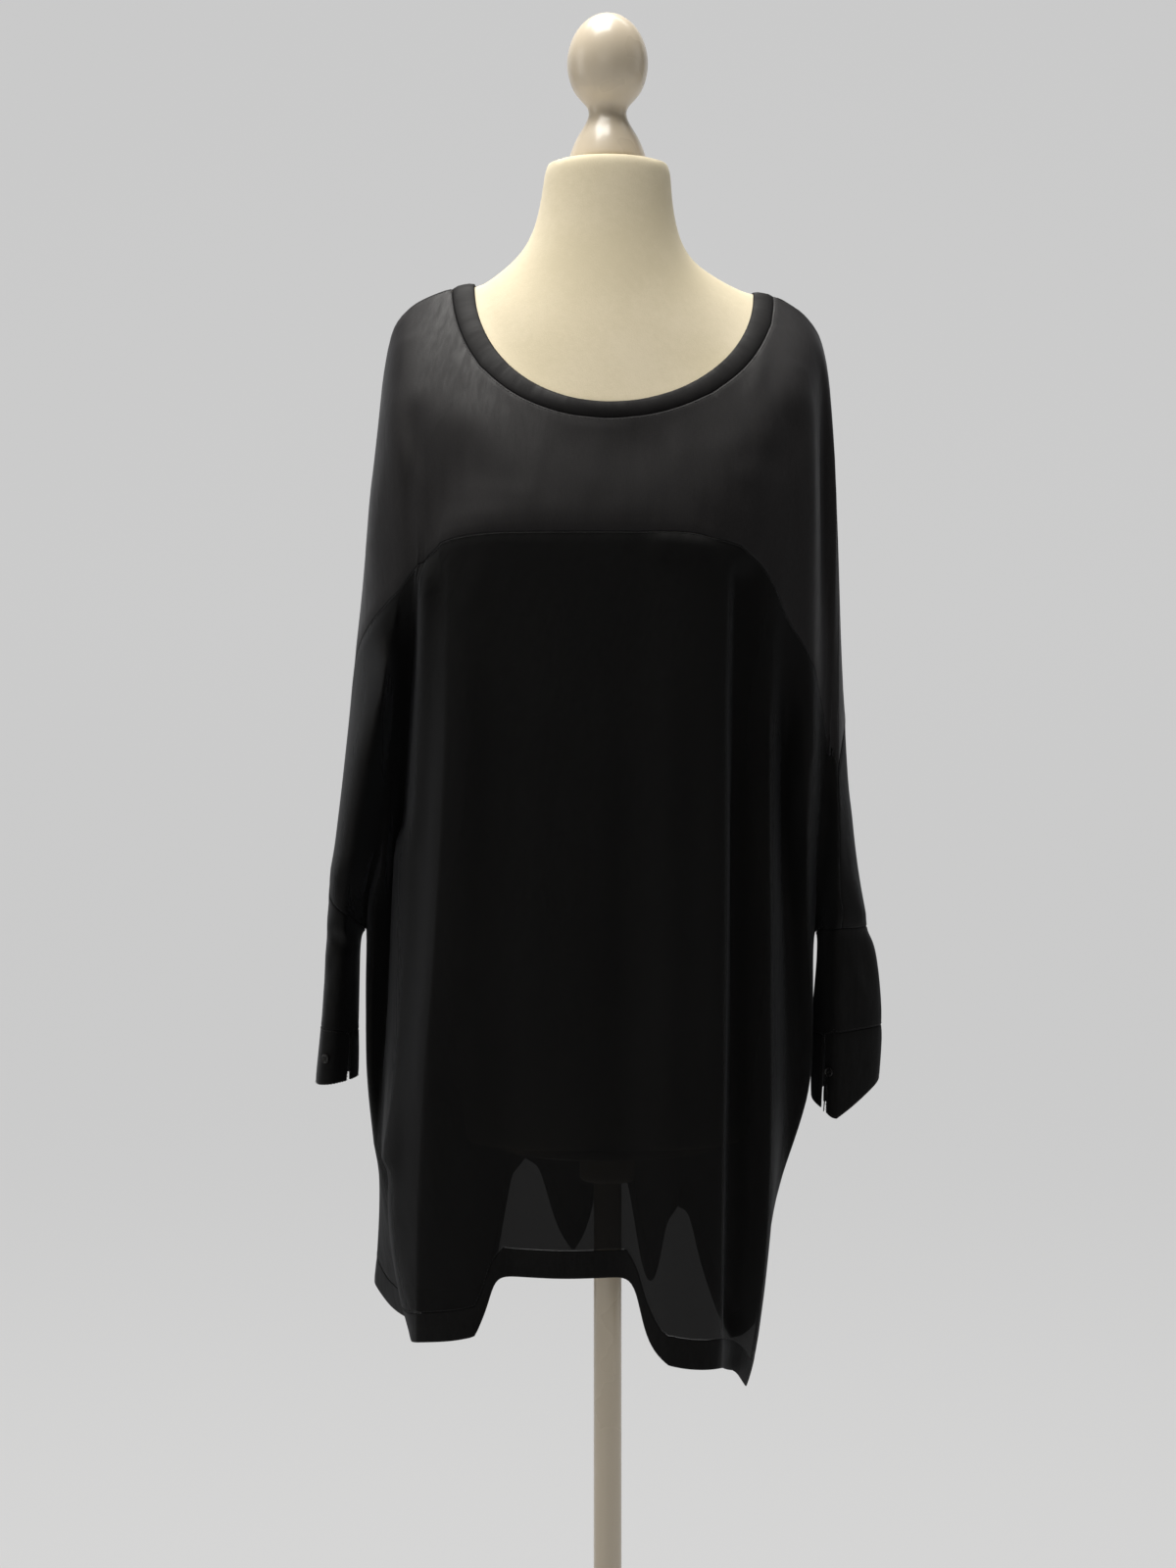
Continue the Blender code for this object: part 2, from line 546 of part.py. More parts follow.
def make_panel(cloth, name, wall, shade, own_normals=(), gap=SEAM_HALF_GAP):
    """One panel: its faces of the surface, drawn back from its borders, with a wall."""
    faces = [corners for panel, corners in cloth.faces if panel == name]
    normals = cloth.normals[[i for i, face in enumerate(cloth.faces) if face[0] == name]]
    used = sorted({corner for face in faces for corner in face})
    local = {corner: i for i, corner in enumerate(used)}
    points = np.array([cloth.points[i] for i in used])
    faces = [tuple(local[corner] for corner in face) for face in faces]
    shared = cloth.point_normals[used].copy()
    longer = cloth.longer[used].copy()
    own, own_longer = point_normals(points, faces, normals)
    for corner in own_normals:
        if corner in local:
            shared[local[corner]] = own[local[corner]]
            longer[local[corner]] = own_longer[local[corner]]

    borders = {}
    for face in faces:
        for a, b in zip(face, face[1:] + face[:1]):
            if (b, a) in borders:
                del borders[b, a]
            else:
                borders[a, b] = True
    inward = np.zeros_like(points)
    worth = np.zeros(len(points))
    for a, b in borders:
        along = points[b] - points[a]
        along /= np.linalg.norm(along)
        for corner in (a, b):
            side = np.cross(own[corner], along)
            inward[corner] += side / max(np.linalg.norm(side), 1e-12)
            worth[corner] += 1
    for corner in np.nonzero(worth)[0]:
        step = inward[corner] / max(np.linalg.norm(inward[corner]), 1e-12)
        level = np.linalg.norm(inward[corner]) / worth[corner]
        ease = CORNER_EASE if used[corner] in own_normals else gap / max(level, LEAST_CORNER_SHARE)
        points[corner] = points[corner] + step * ease

    inner = points - shared * (wall * longer)[:, None]
    count = len(points)
    outer = [half for face in faces for half in halves(points, face)]
    solid = outer + [tuple(corner + count for corner in reversed(half)) for half in outer]
    for a, b in borders:
        solid.append((b, a, a + count, b + count))
    made = add_object(name, np.concatenate([points, inner]), solid, shade)
    for polygon in made.data.polygons:
        polygon.use_smooth = polygon.index < 2 * len(outer)
    return made


def closed_loft(name, rings, shade):
    """A solid through closed rings of points, from the top to the bottom."""
    points = [p for ring in rings for p in ring]
    sides = len(rings[0])
    faces = []
    for r in range(len(rings) - 1):
        for i in range(sides):
            j = (i + 1) % sides
            faces.append((r * sides + i, (r + 1) * sides + i, (r + 1) * sides + j, r * sides + j))
    top = len(points)
    points.append(np.mean(rings[0], axis=0))
    points.append(np.mean(rings[-1], axis=0))
    last = (len(rings) - 1) * sides
    for i in range(sides):
        j = (i + 1) % sides
        faces.append((top, i, j))
        faces.append((top + 1, last + j, last + i))
    made = add_object(name, points, faces, shade)
    for polygon in made.data.polygons:
        polygon.use_smooth = True
    return made


def turned(name, profile, sides, shade):
    """A solid turned about the Z axis; a profile that leaves the axis closes on itself."""
    closed = profile[0][0] > 0 and profile[-1][0] > 0 and profile[-1][0] == profile[0][0]
    rings, points, faces = [], [], []
    for radius, z in profile:
        if radius == 0:
            rings.append([len(points)])
            points.append((0.0, 0.0, z * MM))
            continue
        rings.append(list(range(len(points), len(points) + sides)))
        for i in range(sides):
            angle = 2 * math.pi * i / sides
            points.append((radius * MM * math.cos(angle), radius * MM * math.sin(angle), z * MM))
    pairs = list(zip(rings[:-1], rings[1:]))
    if closed:
        pairs.append((rings[-1], rings[0]))
    elif len(rings[0]) > 1:
        points.append((0.0, 0.0, profile[0][1] * MM))
        pairs.insert(0, ([len(points) - 1], rings[0]))
    for lower, upper in pairs:
        for i in range(sides):
            j = (i + 1) % sides
            if len(lower) == 1:
                faces.append((lower[0], upper[j], upper[i]))
            elif len(upper) == 1:
                faces.append((lower[i], lower[j], upper[0]))
            else:
                faces.append((lower[i], lower[j], upper[j], upper[i]))
    made = add_object(name, points, faces, shade)
    for polygon in made.data.polygons:
        polygon.use_smooth = True
    return made


def button(name, centre, normal, radius, thick, shade):
    """A flat round button lying on the cloth, its axis along the cloth's normal."""
    normal = np.array(normal, float) / np.linalg.norm(normal)
    across = np.cross(normal, (0.0, 0.0, 1.0))
    across /= np.linalg.norm(across)
    up = np.cross(normal, across)
    rings = []
    for share, level in ((0.8, 1.0), (1.0, 0.75), (1.0, 0.25), (0.82, 0.0)):
        rings.append([
            np.array(centre) + normal * (thick * level)
            + radius * share * (math.cos(a) * across + math.sin(a) * up)
            for a in np.linspace(0, 2 * math.pi, 16, endpoint=False)
        ])
    return closed_loft(name, rings, shade)


yoke_cloth = material("yoke_cloth", (0.022, 0.020, 0.021), 0.55)
body_cloth = material("body_cloth", (0.008, 0.008, 0.008), 0.75)
jersey = material("form_jersey", (0.72, 0.66, 0.52), 0.8)
lacquer = material("stand_lacquer", (0.72, 0.67, 0.58), 0.3)
button_shade = material("button_black", (0.012, 0.012, 0.012), 0.3)

rows = cloth_rows()
period = rows.shape[1]
last, half = FRONT_COLUMNS, SLEEVE_HALF
front_columns = list(range(last + 1))
back_columns = list(range(last, period)) + [0]
front_body = front_columns[half : last + 1 - half]
back_body = back_columns[half : len(back_columns) - half]
left_armhole = front_columns[:half] + back_columns[-1 - half : -1]
right_armhole = front_columns[last - half : last] + back_columns[:half]
left_sleeve = sleeve_rows(rows[SPLIT_ROW + 1][left_armhole], LEFT_MARKS, LEFT_SLEEVE)
right_sleeve = sleeve_rows(rows[SPLIT_ROW + 1][right_armhole], RIGHT_MARKS, RIGHT_SLEEVE)

cloth = Cloth()
cloth.grid("neckband", rows[:2], closed=True)
for side, columns, body in (("front", front_columns, front_body), ("back", back_columns, back_body)):
    cloth.grid("yoke_" + side, rows[1 : YOKE_ROWS + 2][:, columns])
    cloth.grid("body_" + side, rows[YOKE_ROWS + 1 : SPLIT_ROW + 2][:, columns])
    cloth.grid("body_" + side, rows[SPLIT_ROW + 1 : HEM_ROW + 1][:, body])
    cloth.grid("hem_band_" + side, rows[HEM_ROW : HEM_ROW + 2][:, body])
for side, sleeve in (("left", left_sleeve), ("right", right_sleeve)):
    cloth.grid("sleeve_" + side, sleeve[: SLEEVE_ROWS + 1], closed=True)
    slit = LEFT_SLIT if side == "left" else RIGHT_SLIT
    cloth.grid("cuff_" + side, slit_cuff(sleeve[SLEEVE_ROWS:], slit))
cloth.finish()
splits = [cloth.point(rows[SPLIT_ROW + 1][column]) for column in (half, last - half)]

for name in ("yoke_front", "yoke_back"):
    make_panel(cloth, name, WALL, yoke_cloth)
for name in ("body_front", "body_back"):
    make_panel(cloth, name, WALL, body_cloth, splits)
for name in ("sleeve_left", "sleeve_right"):
    make_panel(cloth, name, WALL, body_cloth, splits, WIDE_HALF_GAP)
for name in ("cuff_left", "cuff_right"):
    make_panel(cloth, name, BAND_WALL, body_cloth)
for name in ("hem_band_front", "hem_band_back"):
    make_panel(cloth, name, WALL, body_cloth, gap=WIDE_HALF_GAP)
make_panel(cloth, "neckband", BAND_WALL, yoke_cloth)

for side, sleeve, column in (("left", left_sleeve, LEFT_BUTTON), ("right", right_sleeve, RIGHT_BUTTON)):
    row = sleeve[SLEEVE_ROWS + 1]
    normal = cloth.point_normals[cloth.point(row[column])]
    centre = row[column] + normal * BUTTON_LIFT * MM
    button("cuff_button_" + side, centre, normal, BUTTON_RADIUS * MM, BUTTON_THICK * MM, button_shade)

angles = [2 * math.pi * i / TORSO_SIDES for i in range(TORSO_SIDES)]


def under_yoke(row, depth):
    """A ring of the form that lies a little under the cloth, which rests on it."""
    ring = []
    for angle in angles:
        here = np.array(ring_point(yoke_ring(row), angle))
        along = np.array(ring_point(yoke_ring(row), angle + TURN_STEP))
        along -= np.array(ring_point(yoke_ring(row), angle - TURN_STEP))
        down = np.array(ring_point(yoke_ring(row + ROW_STEP), angle))
        down -= np.array(ring_point(yoke_ring(row - ROW_STEP), angle))
        normal = np.cross(down, along)
        ring.append((here - normal / np.linalg.norm(normal) * depth / MM) * MM)
    return ring


torso = [[np.array(ring_point(ring, angle)) * MM for angle in angles] for ring in NECK_RINGS]
torso += [under_yoke(row, wall + gaps * BEARING_GAP) for row, wall, gaps in BEARING_RINGS]
torso += [[np.array(ring_point(ring, angle)) * MM for angle in angles] for ring in TORSO_RINGS]
closed_loft("form_torso", torso, jersey)

turned("finial", FINIAL_PROFILE, 28, lacquer)
turned("torso_plate", PLATE_PROFILE, 32, lacquer)
turned("pole_collar", COLLAR_PROFILE, 24, lacquer)
turned("pole", POLE_PROFILE, 24, lacquer)
turned("base_hub", HUB_PROFILE, 24, lacquer)
turned("base_plate", BASE_PROFILE, 48, lacquer)
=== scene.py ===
# Black blouse dress on a cream dress form: cloth, stitching, form, stand and studio.
import math

import bmesh
import bpy
import numpy as np
from mathutils import Matrix, Vector
from mathutils.bvhtree import BVHTree
from mathutils.kdtree import KDTree


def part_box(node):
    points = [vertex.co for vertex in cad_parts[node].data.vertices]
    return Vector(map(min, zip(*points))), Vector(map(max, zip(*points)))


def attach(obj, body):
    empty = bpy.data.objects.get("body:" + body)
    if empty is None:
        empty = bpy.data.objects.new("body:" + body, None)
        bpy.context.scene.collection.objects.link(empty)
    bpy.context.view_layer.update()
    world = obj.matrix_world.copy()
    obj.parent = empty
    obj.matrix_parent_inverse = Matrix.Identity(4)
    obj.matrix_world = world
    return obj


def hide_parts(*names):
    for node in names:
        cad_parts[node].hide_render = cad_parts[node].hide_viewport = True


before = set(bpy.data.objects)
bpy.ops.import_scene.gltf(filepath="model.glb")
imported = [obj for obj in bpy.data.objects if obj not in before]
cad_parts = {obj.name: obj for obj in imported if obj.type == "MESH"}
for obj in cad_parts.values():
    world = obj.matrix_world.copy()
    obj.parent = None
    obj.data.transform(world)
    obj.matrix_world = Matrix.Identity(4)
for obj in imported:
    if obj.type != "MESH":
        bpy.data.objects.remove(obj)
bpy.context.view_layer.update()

mm = 0.001
print("frame loaded:", len(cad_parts), "nodes")


# camera, light and backdrop

view = {
    "place": (-0.0174, -2.4, 1.016),
    "lens": 82.77,  # for a frame 36 mm wide
    "sensor": 36.0,
}

studio = {
    "floorNear": -7.0,
    "floorFar": 5.2,
    "sweepRadius": 1.6,
    "wallTop": 7.0,
    "halfWidth": 8.0,
    "sweepSteps": 14,
    "colour": (0.12, 0.12, 0.12),
    "glow": 4.6,
    "air": (1.0, 0.96, 0.88),
    "airStrength": 0.02,
}

# name, place, aimed at, width, height, watts, colour
lamps = [
    ("overheadSoft", (-0.35, 0.02, 3.5), (0.0, 0.0, 1.2), 2.0, 1.2, 100, (1.0, 0.98, 0.94)),
    ("leftSide", (-2.7, -0.3, 1.9), (0.0, 0.0, 1.1), 1.2, 2.0, 12, (1.0, 0.98, 0.94)),
    ("rightSide", (2.7, 0.2, 2.2), (0.0, 0.0, 1.2), 1.2, 1.8, 4, (1.0, 0.98, 0.95)),
    ("frontFill", (-0.9, -4.4, 2.1), (0.0, 0.0, 1.0), 2.4, 1.8, 11, (1.0, 0.95, 0.85)),
    ("backdropWash", (0.0, 1.2, 4.6), (0.0, 4.0, 1.4), 4.0, 1.0, 55, (1.0, 1.0, 1.0)),
]


def newObject(name, mesh):
    made = bpy.data.objects.new(name, mesh)
    bpy.context.scene.collection.objects.link(made)
    return made


def meshFrom(bm, name):
    mesh = bpy.data.meshes.new(name)
    bm.to_mesh(mesh)
    bm.free()
    return mesh


def smoothShaded(obj):
    obj.data.shade_smooth()
    return obj


def makeCamera():
    camera = bpy.data.cameras.new("photoView")
    camera.sensor_fit = "HORIZONTAL"
    camera.sensor_width = view["sensor"]
    camera.lens = view["lens"]
    made = bpy.data.objects.new("photoView", camera)
    bpy.context.scene.collection.objects.link(made)
    made.location = view["place"]
    made.rotation_euler = (math.radians(90), 0, 0)
    bpy.context.scene.camera = made


def makeLamps():
    for name, place, target, width, height, watts, colour in lamps:
        lamp = bpy.data.lights.new(name, "AREA")
        lamp.shape = "RECTANGLE"
        lamp.size = width
        lamp.size_y = height
        lamp.energy = watts
        lamp.color = colour
        made = bpy.data.objects.new(name, lamp)
        bpy.context.scene.collection.objects.link(made)
        made.location = place
        aim = Vector(target) - Vector(place)
        made.rotation_euler = aim.to_track_quat("-Z", "Y").to_euler()


def makeBackdrop():
    # floor, a quarter-round sweep and a wall, drawn as one line and pulled out sideways
    radius = studio["sweepRadius"]
    line = [(studio["floorNear"], 0.0), (studio["floorFar"], 0.0)]
    for step in range(1, studio["sweepSteps"] + 1):
        turn = math.pi / 2 * step / studio["sweepSteps"]
        line.append((studio["floorFar"] + radius * math.sin(turn), radius * (1 - math.cos(turn))))
    line.append((studio["floorFar"] + radius, studio["wallTop"]))
    bm = bmesh.new()
    points = [bm.verts.new((-studio["halfWidth"], y, z)) for y, z in line]
    edges = [bm.edges.new(pair) for pair in zip(points[:-1], points[1:])]
    pulled = bmesh.ops.extrude_edge_only(bm, edges=edges)["geom"]
    moved = [item for item in pulled if isinstance(item, bmesh.types.BMVert)]
    bmesh.ops.translate(bm, verts=moved, vec=(2 * studio["halfWidth"], 0, 0))
    bmesh.ops.recalc_face_normals(bm, faces=bm.faces)
    made = smoothShaded(newObject("paleFloor", meshFrom(bm, "paleFloor")))
    return made


# shader maths

class Socket:
    # one output of a node, with the sums that the finishes below need
    def __init__(self, graph, link):
        self.graph = graph
        self.link = link

    def maths(self, operation, other):
        return self.graph.node("ShaderNodeMath", {"operation": operation}, {0: self, 1: other})

    def __add__(self, other):
        return self.maths("ADD", other)

    def __mul__(self, other):
        return self.maths("MULTIPLY", other)

    __radd__ = __add__
    __rmul__ = __mul__


class Finish:
    # a material whose nodes are added one call at a time
    def __init__(self, name, **settings):
        self.material = bpy.data.materials.new(name)
        self.material.use_nodes = True
        self.tree = self.material.node_tree
        self.shader = self.tree.nodes["Principled BSDF"]
        for socket, value in settings.items():
            self.shader.inputs[socket.replace("_", " ")].default_value = value

    def node(self, kind, settings=None, inputs=None, output=0):
        made = self.tree.nodes.new(kind)
        for key, value in (settings or {}).items():
            setattr(made, key, value)
        for key, value in (inputs or {}).items():
            if isinstance(value, Socket):
                self.tree.links.new(value.link, made.inputs[key])
            else:
                made.inputs[key].default_value = value
        return Socket(self, made.outputs[output])

    def feed(self, socket, value):
        self.tree.links.new(value.link, self.shader.inputs[socket])

    def objectPlace(self):
        return self.node("ShaderNodeTexCoord", output="Object")

    def clothPlace(self):
        return self.node("ShaderNodeUVMap", {"uv_map": "cloth"})

    def stretched(self, place, scale):
        return self.node("ShaderNodeMapping", None, {"Vector": place, "Scale": scale})

    def noise(self, place, scale, detail=2.0, roughness=0.5):
        inputs = {"Vector": place, "Scale": scale, "Detail": detail, "Roughness": roughness}
        return self.node("ShaderNodeTexNoise", None, inputs)

    def spread(self, value, low, high, lowTo=0.0, highTo=1.0):
        inputs = {0: value, 1: low, 2: high, 3: lowTo, 4: highTo}
        return self.node("ShaderNodeMapRange", {"interpolation_type": "SMOOTHSTEP"}, inputs)

    def shaded(self, share, dark, light):
        inputs = {"Factor": share, 6: (*dark, 1.0), 7: (*light, 1.0)}
        return self.node("ShaderNodeMix", {"data_type": "RGBA"}, inputs, output=2)

    def bump(self, height, distance, strength=1.0, under=None):
        inputs = {"Strength": strength, "Distance": distance, "Height": height}
        if under is not None:
            inputs["Normal"] = under
        return self.node("ShaderNodeBump", None, inputs)


# linear colours and sizes of the cloths
yokeLook = {
    "dark": (0.0113, 0.0104, 0.0109),
    "light": (0.0162, 0.0150, 0.0156),
    "roughness": (0.53, 0.65),
    "gloss": 0.16,
    "sheen": 0.06,
    "ribs": 0.00095,
    "ribHeight": 0.00010,
    "crinkle": 0.00009,
}

bindingLook = {
    **yokeLook,
    "dark": (0.0058, 0.0053, 0.0056),
    "light": (0.0082, 0.0076, 0.0079),
    "roughness": (0.54, 0.68),
    "gloss": 0.10,
    "sheen": 0.02,
}

bodyLook = {
    "dark": (0.0030, 0.0029, 0.0029),
    "light": (0.0056, 0.0054, 0.0053),
    "roughness": (0.70, 0.84),
    "gloss": 0.13,
    "sheen": 0.06,
    "ribs": 0.00125,
    "ribHeight": 0.00016,
    "crinkle": 0.00060,
    "oneWall": 0.878,  # how much of the light each face of the single layer stops
}


def clothFinish(name, look, wall=1.0):
    made = Finish(
        name,
        Specular_IOR_Level=look["gloss"],
        Sheen_Weight=look["sheen"],
        Sheen_Roughness=0.45,
        Sheen_Tint=(0.75, 0.78, 0.85, 1.0),
        Alpha=wall,
    )
    place = made.clothPlace()
    # warp threads run down the cloth and wander a little; weft threads cross them
    wander = made.noise(made.stretched(place, (1.0, 0.22, 1.0)), 240.0, 1.0)
    warp = made.noise(made.stretched(place, (1 / look["ribs"], 0.16 / look["ribs"], 1.0)), 1.0, 1.0)
    weft = made.noise(made.stretched(place, (0.3 / look["ribs"], 1.2 / look["ribs"], 1.0)), 1.0, 0.0)
    threads = warp * 0.65 + weft * 0.35
    slubs = made.noise(made.stretched(place, (90.0, 7.0, 1.0)), 1.0, 3.0, 0.6)
    clouds = made.noise(made.objectPlace(), 6.0, 2.0)
    tone = threads * 0.45 + slubs * 0.25 + clouds * 0.30
    made.feed("Base Color", made.shaded(made.spread(tone, 0.36, 0.64), look["dark"], look["light"]))
    low, high = look["roughness"]
    made.feed("Roughness", made.spread(slubs * 0.6 + wander * 0.4, 0.35, 0.65, low, high))
    crinkle = made.bump(slubs, look["crinkle"], 0.35)
    made.feed("Normal", made.bump(threads, look["ribHeight"], 0.8, crinkle))
    return made.material


def threadFinish():
    made = Finish("sewingThread", Specular_IOR_Level=0.3)
    twist = made.noise(made.objectPlace(), 2600.0, 1.0)
    made.feed("Base Color", made.shaded(twist, (0.006, 0.006, 0.006), (0.022, 0.021, 0.021)))
    made.feed("Roughness", made.spread(twist, 0.3, 0.7, 0.42, 0.62))
    return made.material


def buttonFinish():
    made = Finish("blackButton", Specular_IOR_Level=0.45, Coat_Roughness=0.15)
    cloud = made.noise(made.objectPlace(), 900.0, 3.0)
    made.feed("Base Color", made.shaded(cloud, (0.006, 0.006, 0.006), (0.016, 0.015, 0.015)))
    made.feed("Roughness", made.spread(cloud, 0.3, 0.7, 0.22, 0.38))
    return made.material


formLook = {
    "shade": (0.745, 0.655, 0.460),
    "lit": (0.825, 0.730, 0.540),
    "knit": 1150.0,  # stitches of the jersey, a metre
    "knitHeight": 0.00012,
}


def jerseyFinish():
    made = Finish("creamJersey", Specular_IOR_Level=0.25, Sheen_Weight=0.12, Sheen_Roughness=0.5)
    place = made.objectPlace()
    fine = made.noise(made.stretched(place, (1.0, 1.0, 0.55)), formLook["knit"], 1.0)
    soft = made.noise(place, 9.0, 3.0)
    pill = made.noise(place, 160.0, 2.0)
    tone = soft * 0.6 + pill * 0.2 + fine * 0.2
    made.feed("Base Color", made.shaded(made.spread(tone, 0.35, 0.65), formLook["shade"], formLook["lit"]))
    made.feed("Roughness", made.spread(pill, 0.3, 0.7, 0.72, 0.86))
    made.feed("Normal", made.bump(fine, formLook["knitHeight"], 0.7, made.bump(pill, 0.00025, 0.4)))
    return made.material


lacquerLook = {
    "shade": (0.640, 0.545, 0.405),
    "lit": (0.730, 0.640, 0.510),
    "roughness": (0.24, 0.36),
}


def lacquerFinish():
    made = Finish("creamLacquer", Specular_IOR_Level=0.5, Coat_Roughness=0.12, Coat_IOR=1.45)
    place = made.objectPlace()
    cloud = made.noise(place, 14.0, 3.0)
    grain = made.noise(made.stretched(place, (260.0, 260.0, 18.0)), 1.0, 3.0)
    tone = cloud * 0.7 + grain * 0.3
    made.feed("Base Color", made.shaded(tone, lacquerLook["shade"], lacquerLook["lit"]))
    low, high = lacquerLook["roughness"]
    made.feed("Roughness", made.spread(cloud, 0.3, 0.7, low, high))
    made.feed("Coat Weight", made.spread(cloud, 0.3, 0.7, 0.25, 0.4))
    peel = made.bump(made.noise(place, 220.0, 2.0), 0.0001, 0.3)
    made.feed("Normal", made.bump(grain, 0.00012, 0.35, peel))
    return made.material


def backdropFinish():
    made = Finish("paleBackdrop", Roughness=0.95, Specular_IOR_Level=0.0)
    made.shader.inputs["Base Color"].default_value = (*studio["colour"], 1.0)
    made.shader.inputs["Emission Color"].default_value = (*studio["colour"], 1.0)
    made.shader.inputs["Emission Strength"].default_value = studio["glow"]
    return made.material


makeCamera()
makeLamps()
makeBackdrop().data.materials.append(backdropFinish())
world = bpy.data.worlds.new("softAir")
world.use_nodes = True
world.node_tree.nodes["Background"].inputs["Color"].default_value = (*studio["air"], 1.0)
world.node_tree.nodes["Background"].inputs["Strength"].default_value = studio["airStrength"]
bpy.context.scene.world = world
bpy.context.scene.view_settings.view_transform = "Standard"
print("studio ready")


# the cloth as one welded sheet

clothLook = {
    "binding": clothFinish("bindingCrepe", bindingLook),
    "yoke": clothFinish("yokeCrepe", yokeLook),
    "body": clothFinish("bodyCrepe", bodyLook, bodyLook["oneWall"]),
    "hem": clothFinish("hemCrepe", bodyLook),
    "thread": threadFinish(),
    "button": buttonFinish(),
}

# piece, CAD node, finish, record slot, wall in mm, edge sink in mm, puff in mm
panels = [
    ("neckBinding", "neckband", "binding", "neck_binding", 1.4, 0.55, 0.9),
    ("frontYoke", "yoke_front", "yoke", "yoke_cloth", 0.7, 0.45, 0.0),
    ("backYoke", "yoke_back", "yoke", "yoke_cloth", 0.7, 0.45, 0.0),
    ("frontBody", "body_front", "body", "body_cloth", 0.7, 0.55, 0.0),
    ("backBody", "body_back", "body", "body_cloth", 0.7, 0.55, 0.0),
    ("frontHem", "hem_band_front", "hem", "body_cloth", 0.9, 0.25, 0.35),
    ("backHem", "hem_band_back", "hem", "body_cloth", 0.9, 0.25, 0.35),
    ("leftSleeve", "sleeve_left", "hem", "body_cloth", 0.7, 0.5, 0.0),
    ("rightSleeve", "sleeve_right", "hem", "body_cloth", 0.7, 0.5, 0.0),
    ("leftCuff", "cuff_left", "hem", "body_cloth", 1.3, 0.4, 0.45),
    ("rightCuff", "cuff_right", "hem", "body_cloth", 1.3, 0.4, 0.45),
]

sheetMaking = {
    "wallStrip": 2.3 * mm,  # faces with a shorter edge than this close a wall at its borders
    "sameVertex": 0.02 * mm,
    "seamGap": 0.8 * mm,
    "armpitGap": 8.0 * mm,
    "middle": -15 * mm,  # x of the garment's own axis
    "levels": 2,
    "foldReach": 3.5 * mm,  # an edge this near a fold line belongs to it
    "foldPast": 9 * mm,  # and may go on this far beyond its ends
    "foldSteep": 0.7,
    "seamRounds": 3,
    "fineRounds": 8,
    "squareTurn": 100,  # degrees
    "edgeStrip": 1.3 * mm,
}


def outerSheet(nodeName):
    # the outer face of a panel's wall, without its inner face and its closed borders
    bm = bmesh.new()
    bm.from_mesh(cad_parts[nodeName].data)
    bmesh.ops.remove_doubles(bm, verts=bm.verts, dist=sheetMaking["sameVertex"])
    strip = [f for f in bm.faces if min(e.calc_length() for e in f.edges) < sheetMaking["wallStrip"]]
    bmesh.ops.delete(bm, geom=strip, context="FACES")
    low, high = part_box(nodeName)
    tube = nodeName.startswith(("sleeve", "cuff"))
    axis = (low + high) / 2 if tube else Vector((sheetMaking["middle"], 0, 0))
    groups = []
    waiting = set(bm.faces)
    while waiting:
        group = []
        front = [waiting.pop()]
        while front:
            face = front.pop()
            group.append(face)
            for edge in face.edges:
                for other in edge.link_faces:
                    if other in waiting:
                        waiting.remove(other)
                        front.append(other)
        outward = 0.0
        for face in group:
            away = face.calc_center_median() - axis
            away.z = 0
            outward += face.calc_area() * away.normalized().dot(face.normal)
        groups.append((outward, group))
    groups.sort(key=lambda pair: pair[0])
    for outward, group in groups[:-1]:
        bmesh.ops.delete(bm, geom=group, context="FACES")
    return bm


def evenSeams(bm):
    # takes small jogs out of the seams, in every direction at the neck and in height under the yoke
    places = {}
    for vertex in bm.verts:
        numbers = {face.material_index for face in vertex.link_faces}
        beside = [
            edge.other_vert(vertex).co
            for edge in vertex.link_edges
            if len({face.material_index for face in edge.link_faces}) > 1
        ]
        if vertex.is_boundary or len(beside) != 2 or numbers not in ({0, 1}, {0, 2}, {1, 3}, {2, 4}):
            continue
        step = ((beside[0] + beside[1]) / 2 - vertex.co) / 2
        places[vertex] = vertex.co + (step if 0 in numbers else Vector((0, 0, step.z)))
    for vertex, place in places.items():
        vertex.co = place


def weldedCloth():
    whole = bmesh.new()
    for number, panel in enumerate(panels):
        before = len(whole.faces)
        sheet = meshFrom(outerSheet(panel[1]), panel[0])
        whole.from_mesh(sheet)
        whole.faces.ensure_lookup_table()
        for face in whole.faces[before:]:
            face.material_index = number
        bpy.data.meshes.remove(sheet)
    bmesh.ops.remove_doubles(whole, verts=whole.verts, dist=sheetMaking["seamGap"])
    besideArmpit = {3, 4, 7, 8}  # the lower front and back and the lower sleeves
    armpits = [
        vertex
        for vertex in whole.verts
        if vertex.is_boundary and {face.material_index for face in vertex.link_faces} <= besideArmpit
    ]
    bmesh.ops.remove_doubles(whole, verts=armpits, dist=sheetMaking["armpitGap"])
    for item in (whole.verts, whole.edges, whole.faces):
        item.ensure_lookup_table()
    for _ in range(sheetMaking["seamRounds"]):
        evenSeams(whole)
    turn = math.radians(sheetMaking["squareTurn"])
    bmesh.ops.join_triangles(
        whole,
        faces=whole.faces,
        cmp_materials=True,
        angle_face_threshold=turn,
        angle_shape_threshold=turn,
    )
    return whole


